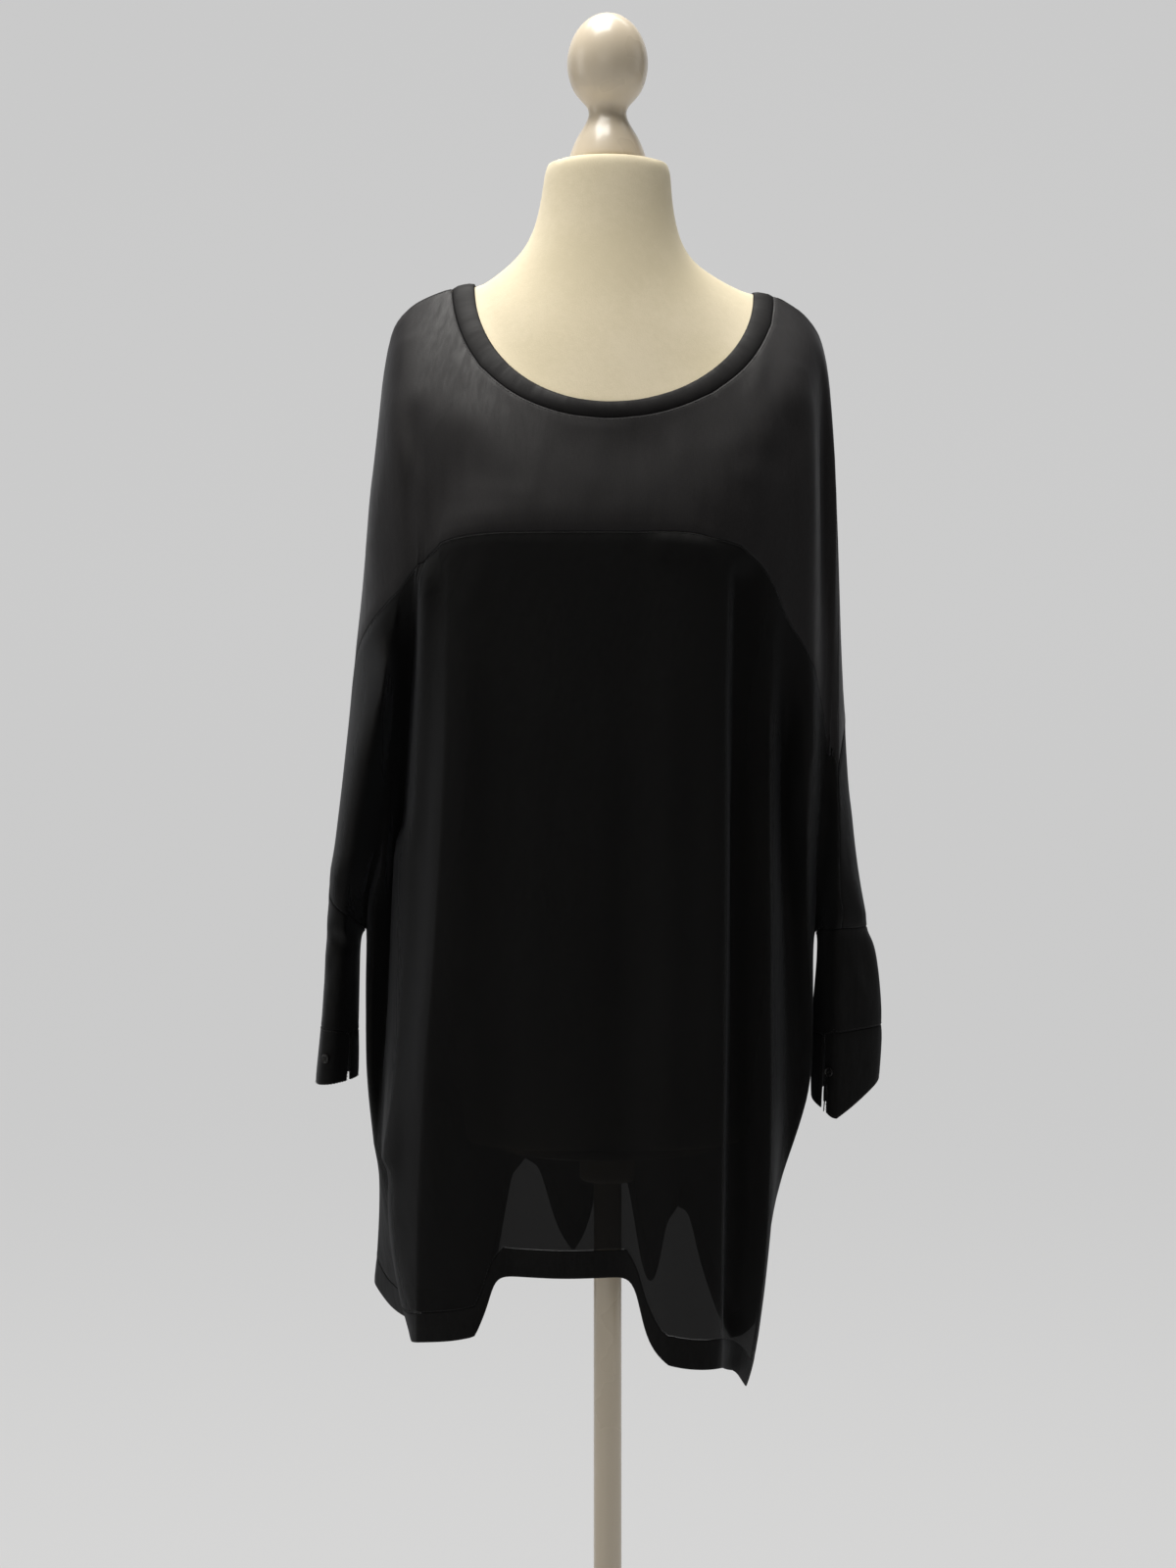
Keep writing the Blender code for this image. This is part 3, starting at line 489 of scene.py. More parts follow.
# side, how crisp, then x and z down the fold in mm
crispFolds = [
    ("front", 0.75, (-135, 1229), (-137, 1057), (-146, 885), (-154, 774), (-160, 662), (-162, 551)),
    ("front", 0.60, (-148, 1217), (-160, 1057), (-168, 885), (-176, 774), (-190, 662), (-168, 546)),
    ("front", 0.45, (-184, 1172), (-210, 1028), (-228, 885)),
    ("front", 0.80, (115, 1221), (107, 1057), (107, 885), (107, 774), (105, 662), (102, 527)),
    ("front", 0.65, (123, 1213), (117, 1057), (116, 885), (116, 774), (115, 662), (108, 520)),
    ("front", 0.65, (138, 1186), (137, 1036), (137, 885), (137, 756), (134, 627), (119, 497)),
    ("front", 0.65, (175, 1112), (169, 998), (174, 885), (180, 774), (146, 662), (133, 545)),
    ("front", 0.60, (191, 1040), (192, 964), (192, 888), (202, 868), (202, 800), (200, 723)),
    ("front", 0.50, (-109, 700), (-109, 559)),
    ("front", 0.50, (49, 700), (49, 536)),
    ("back", 0.45, (126, 1204), (118, 1044), (106, 885), (98, 780), (86, 690), (66, 618)),
    ("back", 0.30, (52, 1225), (40, 1055), (30, 885), (22, 810), (14, 738), (8, 666)),
    ("back", 0.45, (-42, 1225), (-54, 1055), (-62, 885), (-68, 810), (-74, 736), (-77, 662)),
    ("back", 0.55, (-130, 1203), (-144, 1044), (-156, 885), (-162, 762), (-166, 640), (-164, 516)),
    ("back", 0.55, (186, 1140), (178, 1012), (172, 885), (166, 769), (147, 652), (142, 536)),
    ("back", 0.50, (-203, 1143), (-219, 1014), (-227, 885)),
]


def crispened(bm):
    # marks the edges that run down the fold lines, so that rounding leaves them sharper
    layer = bm.edges.layers.float.new("crease_edge")
    for side, crisp, *line in crispFolds:
        heights = np.array([z for x, z in reversed(line)]) * mm
        across = np.array([x for x, z in reversed(line)]) * mm
        for edge in bm.edges:
            first, second = (vertex.co for vertex in edge.verts)
            steep = abs(first.z - second.z) >= sheetMaking["foldSteep"] * edge.calc_length()
            below = min(first.z, second.z) < heights[0] - sheetMaking["foldPast"]
            above = max(first.z, second.z) > heights[-1] + sheetMaking["foldPast"]
            if (first.y < 0) != (side == "front") or not steep or below or above:
                continue
            away = max(abs(place.x - np.interp(place.z, heights, across)) for place in (first, second))
            if away < sheetMaking["foldReach"]:
                edge[layer] = crisp
    return bm


def subdivided(bm, levels):
    # rounds the sheet across its seams; each face keeps its panel's number
    obj = newObject("rounding", meshFrom(bm, "rounding"))
    for panel in panels:
        obj.data.materials.append(None)
    modifier = obj.modifiers.new("round", "SUBSURF")
    modifier.levels = levels
    modifier.render_levels = levels
    modifier.boundary_smooth = "PRESERVE_CORNERS"
    graph = bpy.context.evaluated_depsgraph_get()
    mesh = bpy.data.meshes.new_from_object(obj.evaluated_get(graph))
    bpy.data.objects.remove(obj)
    return mesh


clothSheet = subdivided(crispened(weldedCloth()), sheetMaking["levels"])
fine = bmesh.new()
fine.from_mesh(clothSheet)
for _ in range(sheetMaking["fineRounds"]):
    evenSeams(fine)
fine.to_mesh(clothSheet)
fine.free()
print("cloth sheet:", len(clothSheet.vertices), "points")


# folds and creases, placed on the photo's side and carried on alike at the back

def pointArray(mesh):
    found = np.empty(len(mesh.vertices) * 3, np.float32)
    mesh.vertices.foreach_get("co", found)
    return found.reshape(-1, 3).astype(float)


def normalArray(mesh):
    found = np.empty(len(mesh.vertices) * 3, np.float32)
    mesh.vertices.foreach_get("normal", found)
    return found.reshape(-1, 3).astype(float)


# side, from x and z, to x and z, half width, moved in x, y and z; all in mm
pulls = [
    ("front", (111, 1200), (106, 530), 9, -7, -1, 0),
    ("front", (121, 1190), (113, 560), 7, -9, 8, 0),
    ("front", (-200, 1120), (-207, 935), 13, 8, -14, 0),
    ("front", (-222, 945), (-226, 905), 40, 0, -11, 0),
    ("front", (-154, 1190), (-166, 980), 9, -3, -13, 0),
    ("front", (-174, 960), (-188, 700), 12, -9, -12, 0),
    ("front", (-186, 680), (-176, 580), 10, 0, -8, 0),
    ("front", (-240, 940), (-212, 932), 15, -1, -6, 0),
    ("front", (-240, 880), (-222, 872), 9, 2, 7, 0),
    ("front", (196, 905), (236, 900), 12, 2, -5, 0),
    ("front", (206, 975), (212, 945), 42, 0, -11, 0),
    ("front", (94, 1236), (112, 1222), 17, 1, 0, -5),
    ("back", (96, 1120), (70, 700), 14, 6, 4, 0),
    ("back", (-90, 1120), (-104, 640), 12, -7, 5, 0),
    ("back", (-238, 935), (-214, 930), 12, -1, 5, 0),
]

# x, half width and rise of places along the back hem, in mm; they round the tops of its waves
hemWaves = [(-92, 9, 15), (-62, 9, 11), (-6, 8, 12), (22, 8, 11), (54, 6, 10), (78, 7, 13)]

# side, from x and z, to x and z, bend sideways, half width to its left and right, rise; all in mm
creases = [
    # yoke, front
    ("front", (-186, 1372), (-170, 1262), -5, (9, 9), 2.2),
    ("front", (-172, 1352), (-152, 1270), -4, (8, 8), -1.6),
    ("front", (172, 1352), (120, 1272), 10, (14, 14), -2.8),
    ("front", (150, 1330), (104, 1262), 8, (12, 12), 1.6),
    ("front", (-128, 1432), (-124, 1352), -3, (5, 5), 0.9),
    ("front", (134, 1424), (118, 1338), 5, (7, 7), 1.1),
    ("front", (-56, 1330), (-72, 1236), 3, (12, 8), 0.7),
    ("front", (52, 1326), (86, 1236), -4, (8, 13), 0.8),
    ("front", (-150, 1262), (-52, 1256), 5, (9, 6), 0.3),
    ("front", (-10, 1322), (-14, 1246), 2, (12, 12), 0.7),
    ("front", (24, 1219), (96, 1205), 3, (8, 12), 4.5),
    ("front", (-206, 1300), (-214, 1190), 4, (8, 8), 1.8),
    ("front", (190, 1372), (197, 1120), -4, (8, 2.5), -2.6),
    ("front", (203, 1372), (208, 1130), -4, (3, 7), 1.6),
    # lower front, long soft hanging folds
    ("front", (-120, 1205), (-132, 760), 6, (12, 12), 1.6),
    ("front", (-96, 1190), (-92, 640), -5, (14, 14), -1.5),
    ("front", (-66, 1170), (-70, 700), 5, (13, 13), 1.2),
    ("front", (-36, 1120), (-42, 620), -4, (15, 15), -1.2),
    ("front", (-8, 1180), (-12, 660), 6, (12, 12), 1.4),
    ("front", (22, 1080), (20, 610), -5, (13, 13), -1.4),
    ("front", (48, 1200), (46, 600), 4, (12, 12), 1.7),
    ("front", (74, 1150), (70, 560), -4, (11, 11), -1.3),
    ("front", (70, 1232), (110, 1190), -5, (9, 7), 1.2),
    ("front", (-100, 1216), (-134, 1150), 6, (8, 8), 1.2),
    ("front", (-150, 820), (-152, 600), 4, (8, 8), 1.3),
    ("front", (-206, 1090), (-224, 930), 5, (9, 9), 1.8),
    ("front", (-212, 960), (-232, 900), -8, (8, 8), 2.2),
    ("front", (-196, 1060), (-206, 960), -3, (7, 7), -1.4),
    ("front", (166, 1120), (176, 960), 4, (8, 8), 1.5),
    ("front", (134, 1130), (136, 880), -3, (8, 8), -1.4),
    ("front", (120, 900), (112, 640), 3, (9, 9), 1.4),
    ("front", (-188, 700), (-196, 590), 5, (9, 9), 1.3),
    # sleeves, front
    ("front", (-246, 880), (-232, 850), 5, (5, 5), 1.2),
    ("front", (-234, 870), (-248, 828), -4, (5, 5), -1.0),
    ("front", (-250, 824), (-230, 806), 3, (4, 4), 1.0),
    ("front", (204, 940), (232, 880), 6, (7, 7), 1.5),
    ("front", (222, 900), (236, 820), -4, (7, 7), -1.3),
    ("front", (206, 872), (226, 812), 4, (6, 6), 1.2),
    ("front", (196, 850), (206, 806), -3, (5, 5), 1.0),
    # yoke, back
    ("back", (-150, 1400), (-176, 1250), -8, (11, 11), 1.9),
    ("back", (-96, 1392), (-118, 1262), 6, (13, 13), -1.5),
    ("back", (-40, 1398), (-34, 1252), -4, (14, 14), 1.2),
    ("back", (20, 1396), (26, 1246), 5, (12, 12), -1.1),
    ("back", (82, 1396), (104, 1252), 7, (13, 13), 1.6),
    ("back", (140, 1392), (168, 1230), -7, (12, 12), -1.9),
    ("back", (-118, 1420), (-10, 1412), -6, (7, 7), 0.9),
    ("back", (14, 1414), (120, 1420), -5, (7, 7), 0.8),
    ("back", (-202, 1300), (-212, 1170), 5, (9, 9), 1.8),
    ("back", (190, 1300), (200, 1150), -4, (9, 9), 1.6),
    # lower back
    ("back", (-70, 1190), (-60, 800), 8, (11, 11), 1.6),
    ("back", (-18, 1200), (-12, 860), -6, (12, 12), -1.3),
    ("back", (46, 1190), (40, 760), 5, (11, 11), 1.5),
    ("back", (96, 1180), (84, 720), -7, (12, 12), 1.4),
    ("back", (-108, 1120), (-124, 700), -5, (10, 10), -1.4),
    ("back", (-160, 1130), (-176, 820), 5, (10, 10), 1.6),
    ("back", (150, 1120), (150, 860), 4, (10, 10), 1.5),
    ("back", (128, 860), (120, 640), -4, (9, 9), 1.3),
    ("back", (-208, 1080), (-224, 930), 6, (9, 9), 1.7),
    ("back", (-30, 1000), (-52, 760), 6, (9, 9), 1.0),
    ("back", (70, 960), (58, 700), -6, (9, 9), -1.1),
    # sleeves, back
    ("back", (-246, 880), (-232, 834), 5, (6, 6), 1.3),
    ("back", (-230, 850), (-246, 812), -4, (5, 5), -1.1),
    ("back", (206, 960), (232, 880), 6, (7, 7), 1.5),
    ("back", (212, 880), (234, 816), -4, (6, 6), -1.2),
    ("back", (196, 860), (214, 812), 4, (5, 5), 1.1),
]

ripples = {
    "scale": 14.0,
    "rise": 0.55 * mm,
    "fine": 46.0,
    "fineRise": 0.14 * mm,
    "drop": 0.35,  # how much slower they change down the cloth
}

folding = {
    "fade": 0.35,  # share of a crease's length over which each end dies away
    "pullDepth": 25 * mm,  # a pull works fully this far from the garment's middle plane
    "waveTop": 740 * mm,  # the back hem's waves start at this height
    "waveReach": 110 * mm,  # and are full this far below it
    "waveDepth": 50 * mm,
    "calmReach": 9 * mm,  # creases are lower than this near a seam
    "calmLeast": 0.25,
}


def creaseRise(points, normals):
    rise = np.zeros(len(points))
    for side, start, end, bend, (leftWidth, rightWidth), height in creases:
        facing = -normals[:, 1] if side == "front" else normals[:, 1]
        start = np.array(start) * mm
        end = np.array(end) * mm
        along = end - start
        length = np.linalg.norm(along)
        along /= length
        across = np.array([-along[1], along[0]])
        offset = points[:, [0, 2]] - start
        share = offset @ along / length
        middle = bend * mm * np.sin(np.pi * np.clip(share, 0, 1))
        away = offset @ across - middle
        away = away / (np.where(away < 0, leftWidth, rightWidth) * mm)
        ends = np.clip(np.minimum(share, 1 - share) / folding["fade"], 0, 1)
        ends = ends * ends * (3 - 2 * ends)
        seen = np.clip((facing + 0.1) / 0.5, 0, 1)
        rise += height * mm * np.exp(-away * away) * ends * seen
    return rise


def pulledOver(points):
    # folds are drawn sideways over their neighbours, and the back hem is waved
    moved = np.zeros_like(points)
    for side, start, end, halfWidth, across, deep, up in pulls:
        start = np.array(start) * mm
        line = np.array(end) * mm - start
        offset = points[:, [0, 2]] - start
        share = np.clip(offset @ line / (line @ line), 0, 1)
        away = np.linalg.norm(offset - share[:, None] * line, axis=1) / (halfWidth * mm)
        depth = -points[:, 1] if side == "front" else points[:, 1]
        near = np.exp(-away * away) * np.clip(depth / folding["pullDepth"], 0, 1)
        moved += near[:, None] * np.array([across, deep, up]) * mm
    low = np.clip((folding["waveTop"] - points[:, 2]) / folding["waveReach"], 0, 1)
    low *= low * (3 - 2 * low) * np.clip(points[:, 1] / folding["waveDepth"], 0, 1)
    for place, halfWidth, up in hemWaves:
        away = (points[:, 0] - place * mm) / (halfWidth * mm)
        moved[:, 2] += np.exp(-away * away) * low * up * mm
    return moved


def rippleRise(points):
    # shallow unevenness, longer down the cloth than across it
    place = points * np.array([1.0, 1.0, ripples["drop"]])
    total = np.zeros(len(points))
    for scale, height in ((ripples["scale"], ripples["rise"]), (ripples["fine"], ripples["fineRise"])):
        x, y, z = (place * scale).T
        wave = np.sin(2.1 * x + 1.3 * np.sin(1.7 * z + 0.6 * x)) * np.cos(1.9 * y - 0.8 * np.sin(2.3 * z))
        wave += 0.5 * np.sin(4.3 * x + 2.2 * z + 1.1) * np.sin(3.7 * y + 1.9 * np.cos(1.3 * x))
        total += wave * height
    return total


def seamDistance(mesh, points, wanted):
    # how far each point is from the edges between two panels, for the pairs that are wanted
    used = {}
    for polygon in mesh.polygons:
        for key in polygon.edge_keys:
            used.setdefault(key, set()).add(polygon.material_index)
    tree = KDTree(sum(1 for numbers in used.values() if wanted(numbers)) * 3)
    for (first, second), numbers in used.items():
        if wanted(numbers):
            for share in (0.0, 0.5, 1.0):
                tree.insert(Vector(points[first] * (1 - share) + points[second] * share), first)
    tree.balance()
    return np.array([tree.find(point)[2] for point in points])


clothPoints = pointArray(clothSheet)
clothPoints += pulledOver(clothPoints)
clothSheet.vertices.foreach_set("co", clothPoints.astype(np.float32).ravel())
clothSheet.update()
clothNormals = normalArray(clothSheet)
seamAway = seamDistance(clothSheet, clothPoints, lambda numbers: len(numbers) > 1)
calm = np.clip(seamAway / folding["calmReach"], folding["calmLeast"], 1.0)
rise = creaseRise(clothPoints, clothNormals) * calm + rippleRise(clothPoints) * calm
clothPoints += clothNormals * rise[:, None]
clothSheet.vertices.foreach_set("co", clothPoints.astype(np.float32).ravel())
clothSheet.update()
clothTree = BVHTree.FromPolygons(
    [Vector(point) for point in clothPoints], [tuple(p.vertices) for p in clothSheet.polygons]
)
print("creases placed:", len(creases), "pulls:", len(pulls))


# one piece for each panel

def panelMesh(number):
    bm = bmesh.new()
    bm.from_mesh(clothSheet)
    others = [face for face in bm.faces if face.material_index != number]
    bmesh.ops.delete(bm, geom=others, context="FACES")
    for face in bm.faces:
        face.material_index = 0
    return bm


def loweredBorder(bm, sink):
    # a narrow strip inside the border, whose outer edge turns down into the seam
    bmesh.ops.inset_region(
        bm,
        faces=bm.faces,
        use_boundary=True,
        use_even_offset=True,
        thickness=sheetMaking["edgeStrip"],
        depth=0.0,
    )
    bm.normal_update()
    for vertex in bm.verts:
        if vertex.is_boundary:
            vertex.co -= vertex.normal * sink


def puffed(bm, height):
    # a folded band stands proud along its middle
    tree = KDTree(sum(1 for vertex in bm.verts if vertex.is_boundary))
    border = [vertex for vertex in bm.verts if vertex.is_boundary]
    for index, vertex in enumerate(border):
        tree.insert(vertex.co, index)
    tree.balance()
    bm.normal_update()
    away = {vertex: tree.find(vertex.co)[2] for vertex in bm.verts}
    widest = sorted(away.values())[int(0.98 * len(away))]
    for vertex, distance in away.items():
        share = min(1.0, distance / widest)
        vertex.co += vertex.normal * height * math.sqrt(max(0.0, 1 - (1 - share) ** 2))


def tubeMap(bm, layer, centre):
    # across is the turn about the tube's own axis, up is the height
    reach = sum((v.co.xy - centre.xy).length for v in bm.verts) / len(bm.verts)
    for face in bm.faces:
        middle = face.calc_center_median()
        base = math.atan2(middle.y - centre.y, middle.x - centre.x)
        for loop in face.loops:
            turn = math.atan2(loop.vert.co.y - centre.y, loop.vert.co.x - centre.x) - base
            turn = (turn + math.pi) % (2 * math.pi) - math.pi
            loop[layer].uv = ((base + turn) * reach, loop.vert.co.z)


def flatMap(obj):
    # lays the panel flat, at its real size, with its grain upright
    bpy.ops.object.select_all(action="DESELECT")
    obj.select_set(True)
    bpy.context.view_layer.objects.active = obj
    bpy.ops.object.mode_set(mode="EDIT")
    bpy.ops.mesh.select_all(action="SELECT")
    bpy.ops.uv.unwrap(method="CONFORMAL", margin=0.0)
    bpy.ops.object.mode_set(mode="OBJECT")
    mesh = obj.data
    layer = mesh.uv_layers["cloth"]
    flat = np.empty(len(mesh.loops) * 2, np.float32)
    layer.data.foreach_get("uv", flat)
    flat = flat.reshape(-1, 2).astype(float)
    corners = np.array([loop.vertex_index for loop in mesh.loops])
    points = pointArray(mesh)[corners]
    real = sum(polygon.area for polygon in mesh.polygons)
    laid = 0.0
    for polygon in mesh.polygons:
        ring = flat[list(polygon.loop_indices)]
        after = np.roll(ring, -1, axis=0)
        laid += abs((ring[:, 0] * after[:, 1] - after[:, 0] * ring[:, 1]).sum()) / 2
    flat -= flat.mean(axis=0)
    flat *= math.sqrt(real / laid)
    upward = np.linalg.lstsq(flat, points[:, 2] - points[:, 2].mean(), rcond=None)[0]
    upward /= np.linalg.norm(upward)
    sideways = np.array([upward[1], -upward[0]])
    flat = np.stack([flat @ sideways, flat @ upward], axis=1)
    layer.data.foreach_set("uv", flat.astype(np.float32).ravel())


def clothPiece(number, panel):
    name, node, look, slot, wall, sink, puff = panel
    bm = panelMesh(number)
    if puff:
        puffed(bm, puff * mm)
    loweredBorder(bm, sink * mm)
    layer = bm.loops.layers.uv.new("cloth")
    tube = name in ("neckBinding", "leftSleeve", "rightSleeve", "leftCuff", "rightCuff")
    if tube:
        centre = sum((vertex.co for vertex in bm.verts), Vector()) / len(bm.verts)
        tubeMap(bm, layer, centre)
    obj = newObject(name, meshFrom(bm, name))
    obj.data.materials.clear()
    obj.data.materials.append(clothLook[look])
    if not tube:
        flatMap(obj)
    smoothShaded(obj)
    wallMaker = obj.modifiers.new("wall", "SOLIDIFY")
    wallMaker.thickness = wall * mm
    wallMaker.offset = -1.0
    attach(obj, "root")
    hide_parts(node)
    return obj


for number, panel in enumerate(panels):
    clothPiece(number, panel)


# stitching

sewing = {
    "stitch": 2.2,  # mm long
    "pitch": 3.0,  # mm from one stitch to the next
    "thread": 0.22,  # mm half thickness
    "lift": 0.12,  # mm above the cloth
}


def seamLoops(wanted):
    # the lines of edges where the wanted panels meet, or where one of them ends
    used = {}
    for polygon in clothSheet.polygons:
        for key in polygon.edge_keys:
            used.setdefault(key, []).append(polygon.material_index)
    beside = {}
    for (first, second), numbers in used.items():
        if wanted(numbers):
            beside.setdefault(first, []).append(second)
            beside.setdefault(second, []).append(first)
    loops = []
    waiting = set(beside)
    while waiting:
        ends = [point for point in waiting if len(beside[point]) == 1]
        here = min(ends) if ends else min(waiting)
        line = [here]
        waiting.discard(here)
        while True:
            ahead = [point for point in beside[line[-1]] if point in waiting]
            if not ahead:
                break
            line.append(ahead[0])
            waiting.discard(ahead[0])
        closed = len(line) > 2 and line[0] in beside[line[-1]]
        loops.append((np.array([clothPoints[i] for i in line + line[:1] * closed]), closed))
    return loops


def evenly(line, pitch):
    steps = np.linalg.norm(np.diff(line, axis=0), axis=1)
    along = np.concatenate([[0.0], np.cumsum(steps)])
    at = np.arange(0.5 * pitch, along[-1], pitch)
    return np.stack([np.interp(at, along, line[:, axis]) for axis in range(3)], axis=1)


def threadPath(line, shift):
    # a curve beside a seam, moved by shift across the cloth and lying on it
    places = evenly(line, sewing["pitch"] * mm)
    path = []
    for before, here, after in zip(places[:-2], places[1:-1], places[2:]):
        along = Vector(after - before).normalized()
        spot, normal, _, _ = clothTree.find_nearest(Vector(here))
        across = normal.cross(along).normalized()
        spot, normal, _, _ = clothTree.find_nearest(spot + across * shift * mm)
        path.append(spot + normal * sewing["lift"] * mm)
    curve = bpy.data.curves.new("threadPath", "CURVE")
    curve.dimensions = "3D"
    spline = curve.splines.new("POLY")
    spline.points.add(len(path) - 1)
    for point, place in zip(spline.points, path):
        point.co = (*place, 1.0)
    return newObject("threadPath", curve)


def stitched(name, rows):
    # one stitch, repeated along each row
    one = bmesh.new()
    bmesh.ops.create_uvsphere(one, u_segments=6, v_segments=4, radius=1.0)
    bmesh.ops.rotate(one, verts=one.verts, matrix=Matrix.Rotation(math.pi / 2, 3, "Y"))
    thick = sewing["thread"] * mm
    bmesh.ops.scale(one, verts=one.verts, vec=(sewing["stitch"] / 2 * mm, thick, thick))
    single = newObject("oneStitch", meshFrom(one, "oneStitch"))
    repeat = single.modifiers.new("repeat", "ARRAY")
    repeat.fit_type = "FIT_CURVE"
    repeat.use_relative_offset = False
    repeat.use_constant_offset = True
    repeat.constant_offset_displace = (sewing["pitch"] * mm, 0, 0)
    follow = single.modifiers.new("follow", "CURVE")
    bm = bmesh.new()
    for line, shift in rows:
        path = threadPath(line, shift)
        repeat.curve = path
        follow.object = path
        graph = bpy.context.evaluated_depsgraph_get()
        row = bpy.data.meshes.new_from_object(single.evaluated_get(graph))
        bm.from_mesh(row)
        bpy.data.meshes.remove(row)
        bpy.data.objects.remove(path)
    bpy.data.objects.remove(single)
    obj = newObject(name, meshFrom(bm, name))
    obj.data.materials.append(clothLook["thread"])
    smoothShaded(obj)
    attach(obj, "root")
    return obj


panelNumber = {panel[0]: number for number, panel in enumerate(panels)}


def joinOf(first, second):
    # true for an edge with one of the first panels on one side and one of the second on the other
    firsts = {panelNumber[name] for name in first}
    seconds = {panelNumber[name] for name in second}
    return lambda found: len(found) == 2 and bool(set(found) & firsts) and bool(set(found) & seconds)


def edgeOf(name):
    # true for a free edge of a panel
    return lambda found: len(found) == 1 and found[0] == panelNumber[name]


# name, seam, shifts across it in mm, slot
sewn = [
    ("neckStitches", joinOf(["neckBinding"], ["frontYoke", "backYoke"]), (1.6,), "neck_binding"),
    ("yokeStitches", joinOf(["frontYoke", "backYoke"], ["frontBody", "backBody"]), (-1.4,), "yoke_cloth"),
    ("hemStitches", joinOf(["frontBody", "backBody"], ["frontHem", "backHem"]), (-1.2,), "body_cloth"),
    ("leftCuffStitches", joinOf(["leftCuff"], ["leftSleeve"]), (1.5,), "body_cloth"),
    ("rightCuffStitches", joinOf(["rightCuff"], ["rightSleeve"]), (1.5,), "body_cloth"),
    ("leftCuffEdge", edgeOf("leftCuff"), (2.0,), "body_cloth"),
    ("rightCuffEdge", edgeOf("rightCuff"), (2.0,), "body_cloth"),
]

for name, seam, shifts, slot in sewn:
    rows = [(line, shift) for line, closed in seamLoops(seam) for shift in shifts]
    stitched(name, rows)
    print("stitched:", name, len(rows), "rows")


# buttons

buttonMaking = {
    "rim": 0.55,  # mm, width of the raised rim
    "dish": 0.45,  # mm, how deep the middle lies
    "hole": 0.55,  # mm, radius
    "holeOut": 1.15,  # mm from the middle to a hole
    "sides": 40,
    "thread": 0.28,  # mm, radius of the sewing thread
}


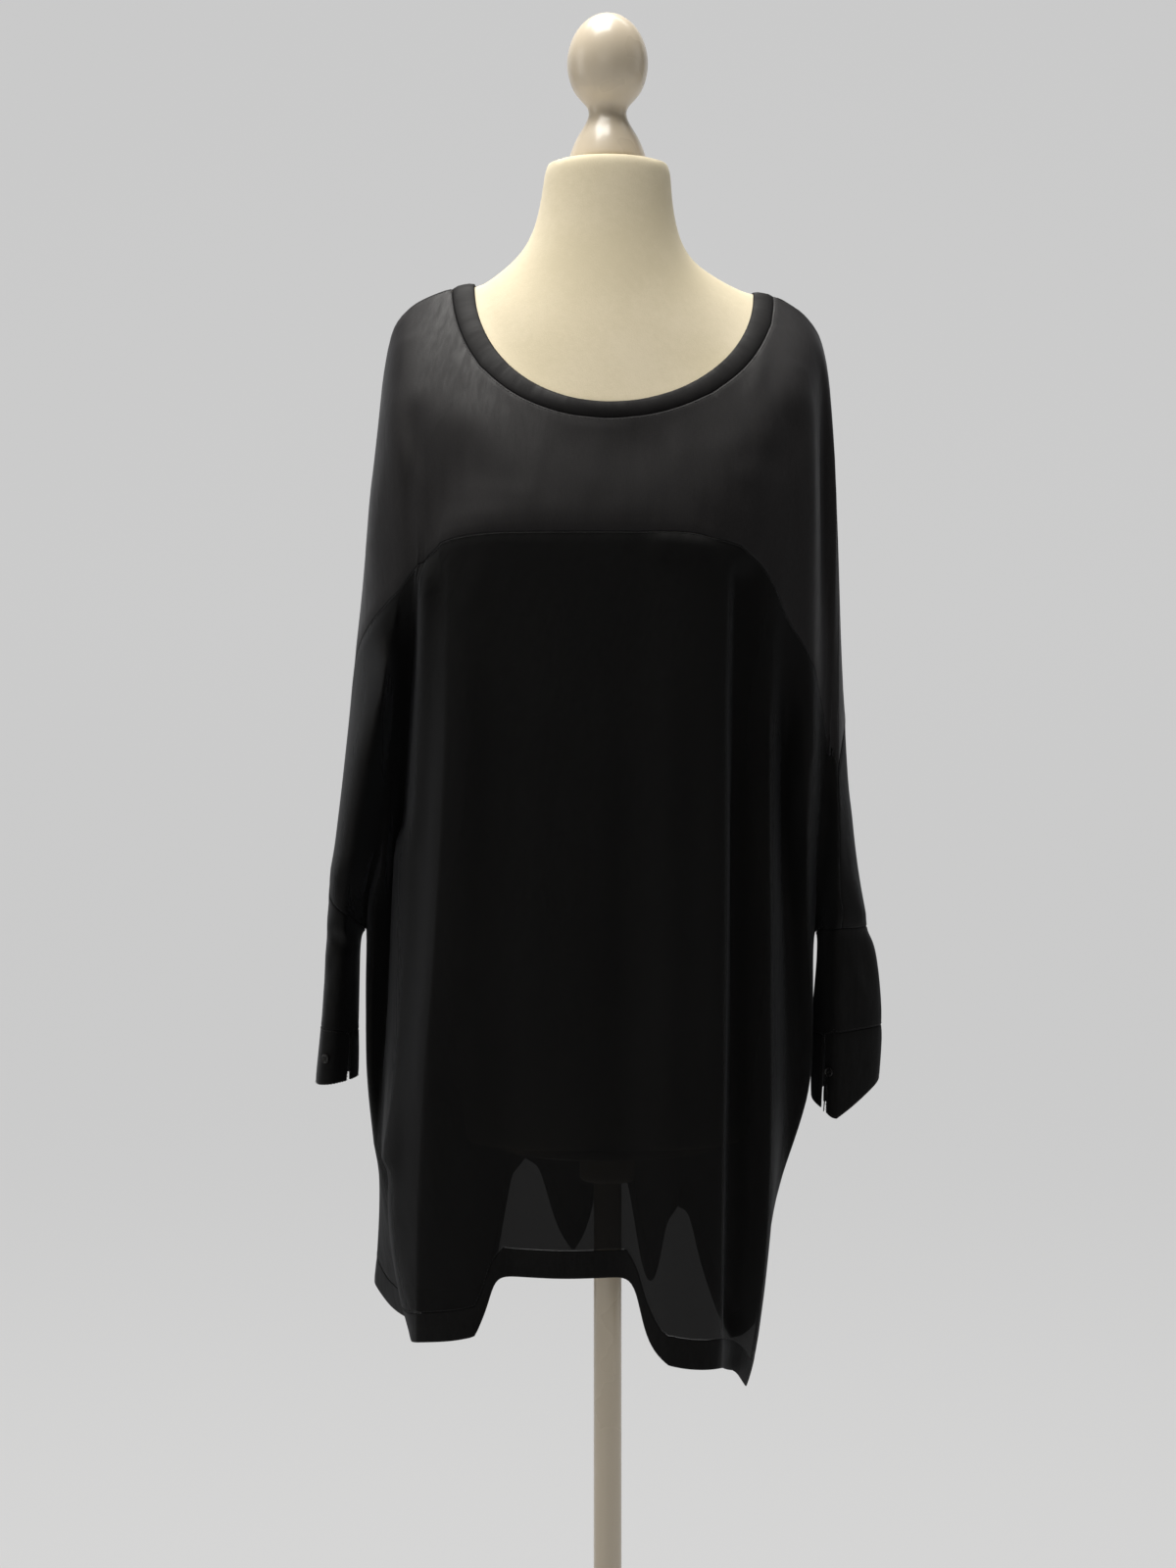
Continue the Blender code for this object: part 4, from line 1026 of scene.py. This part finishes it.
def buttonPiece(name, node, cuff):
    # a dished disc with a rounded rim and four holes, sewn on with a cross of thread
    points = np.array([vertex.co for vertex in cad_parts[node].data.vertices])
    centre = (points.max(axis=0) + points.min(axis=0)) / 2
    axes = np.linalg.svd(points - points.mean(axis=0))[2]
    up = Vector(axes[2])
    low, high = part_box(cuff)
    if up.dot(Vector(centre) - (low + high) / 2) < 0:
        up.negate()
    heights = (points - centre) @ np.array(up)
    radius = np.linalg.norm((points - centre) - heights[:, None] * np.array(up), axis=1).max()
    half = (heights.max() - heights.min()) / 2
    rim = buttonMaking["rim"] * mm
    dish = buttonMaking["dish"] * mm
    profile = [
        (0.0, half - dish), (radius - 2.2 * rim, half - dish), (radius - 1.6 * rim, half - 0.4 * dish),
        (radius - rim, half), (radius - 0.35 * rim, half - 0.15 * dish), (radius, half - dish),
        (radius, -0.4 * half), (radius - 0.5 * rim, -half), (0.0, -half),
    ]
    bm = bmesh.new()
    line = [bm.verts.new((x, 0, z)) for x, z in profile]
    edges = [bm.edges.new(pair) for pair in zip(line[:-1], line[1:])]
    bmesh.ops.spin(
        bm, geom=line + edges, axis=(0, 0, 1), cent=(0, 0, 0),
        angle=2 * math.pi, steps=buttonMaking["sides"], use_merge=True,
    )
    bmesh.ops.remove_doubles(bm, verts=bm.verts, dist=0.001 * mm)
    bmesh.ops.recalc_face_normals(bm, faces=bm.faces)
    disc = newObject(name, meshFrom(bm, name))
    drill = bmesh.new()
    out = buttonMaking["holeOut"] * mm
    corners = [(out * math.cos(turn), out * math.sin(turn)) for turn in (0.8, 2.37, 3.94, 5.51)]
    for x, y in corners:
        made = bmesh.ops.create_cone(
            drill, cap_ends=True, segments=14, depth=4 * half,
            radius1=buttonMaking["hole"] * mm, radius2=buttonMaking["hole"] * mm,
        )["verts"]
        bmesh.ops.translate(drill, verts=made, vec=(x, y, 0))
    holes = newObject(name + "Holes", meshFrom(drill, name + "Holes"))
    cut = disc.modifiers.new("holes", "BOOLEAN")
    cut.object = holes
    mesh = bpy.data.meshes.new_from_object(disc.evaluated_get(bpy.context.evaluated_depsgraph_get()))
    bpy.data.objects.remove(holes)
    bpy.data.objects.remove(disc)
    place = up.to_track_quat("Z", "Y").to_matrix().to_4x4()
    place.translation = Vector(centre)
    mesh.transform(place)
    button = newObject(name, mesh)
    mesh.materials.clear()
    mesh.materials.append(clothLook["button"])
    mesh.shade_smooth()
    mesh.set_sharp_from_angle(angle=math.radians(38))
    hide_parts(node)
    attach(button, "root")
    # the thread goes from hole to hole, over the dish
    bm = bmesh.new()
    thick = buttonMaking["thread"] * mm
    for start, end in ((corners[0], corners[2]), (corners[1], corners[3])):
        turn = math.atan2(end[1] - start[1], end[0] - start[0])
        made = bmesh.ops.create_uvsphere(bm, u_segments=8, v_segments=8, radius=1.0)["verts"]
        for vertex in made:
            x, y, z = vertex.co
            along, across, rise = x * out * 1.25, y * thick, z * thick + half - 0.75 * dish
            vertex.co = (
                along * math.cos(turn) - across * math.sin(turn),
                along * math.sin(turn) + across * math.cos(turn),
                rise,
            )
    bmesh.ops.transform(bm, matrix=place, verts=bm.verts)
    thread = smoothShaded(newObject(name + "Thread", meshFrom(bm, name + "Thread")))
    thread.data.materials.append(clothLook["thread"])
    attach(thread, "root")


buttonPiece("leftButton", "cuff_button_left", "cuff_left")
buttonPiece("rightButton", "cuff_button_right", "cuff_right")
print("buttons made")


# the form and its stand

jersey = jerseyFinish()
lacquer = lacquerFinish()

formMaking = {
    "sameVertex": 0.02 * mm,
    "flatTurn": 25,  # degrees; triangles that turn less are joined
    "levels": 2,
}

# piece, CAD node, finish, record slot, edges kept crisp over this many degrees, how crisp
formPieces = [
    ("formBody", "form_torso", jersey, "form_jersey", 50, 0.55),
    ("formFinial", "finial", lacquer, "stand_lacquer", 70, 0.5),
    ("formUnderside", "torso_plate", lacquer, "stand_lacquer", 30, 0.75),
    ("heightCollar", "pole_collar", lacquer, "stand_lacquer", 35, 0.75),
    ("standPole", "pole", lacquer, "stand_lacquer", 35, 0.9),
    ("baseHub", "base_hub", lacquer, "stand_lacquer", 35, 0.7),
    ("basePlate", "base_plate", lacquer, "stand_lacquer", 30, 0.7),
]


def refined(name, node, finish, slot, sharp, crisp):
    # a finer copy of a solid: its triangles joined, its crisp edges kept, the rest rounded
    bm = bmesh.new()
    bm.from_mesh(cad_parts[node].data)
    bmesh.ops.remove_doubles(bm, verts=bm.verts, dist=formMaking["sameVertex"])
    turn = math.radians(formMaking["flatTurn"])
    bmesh.ops.join_triangles(bm, faces=bm.faces, angle_face_threshold=turn, angle_shape_threshold=math.pi)
    crease = bm.edges.layers.float.new("crease_edge")
    for edge in bm.edges:
        if len(edge.link_faces) == 2 and edge.calc_face_angle() > math.radians(sharp):
            edge[crease] = crisp
    obj = smoothShaded(newObject(name, meshFrom(bm, name)))
    obj.data.materials.clear()
    obj.data.materials.append(finish)
    rounding = obj.modifiers.new("round", "SUBSURF")
    rounding.levels = formMaking["levels"]
    rounding.render_levels = formMaking["levels"]
    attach(obj, "root")
    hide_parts(node)
    return obj


for piece in formPieces:
    refined(*piece)
print("form and stand made")
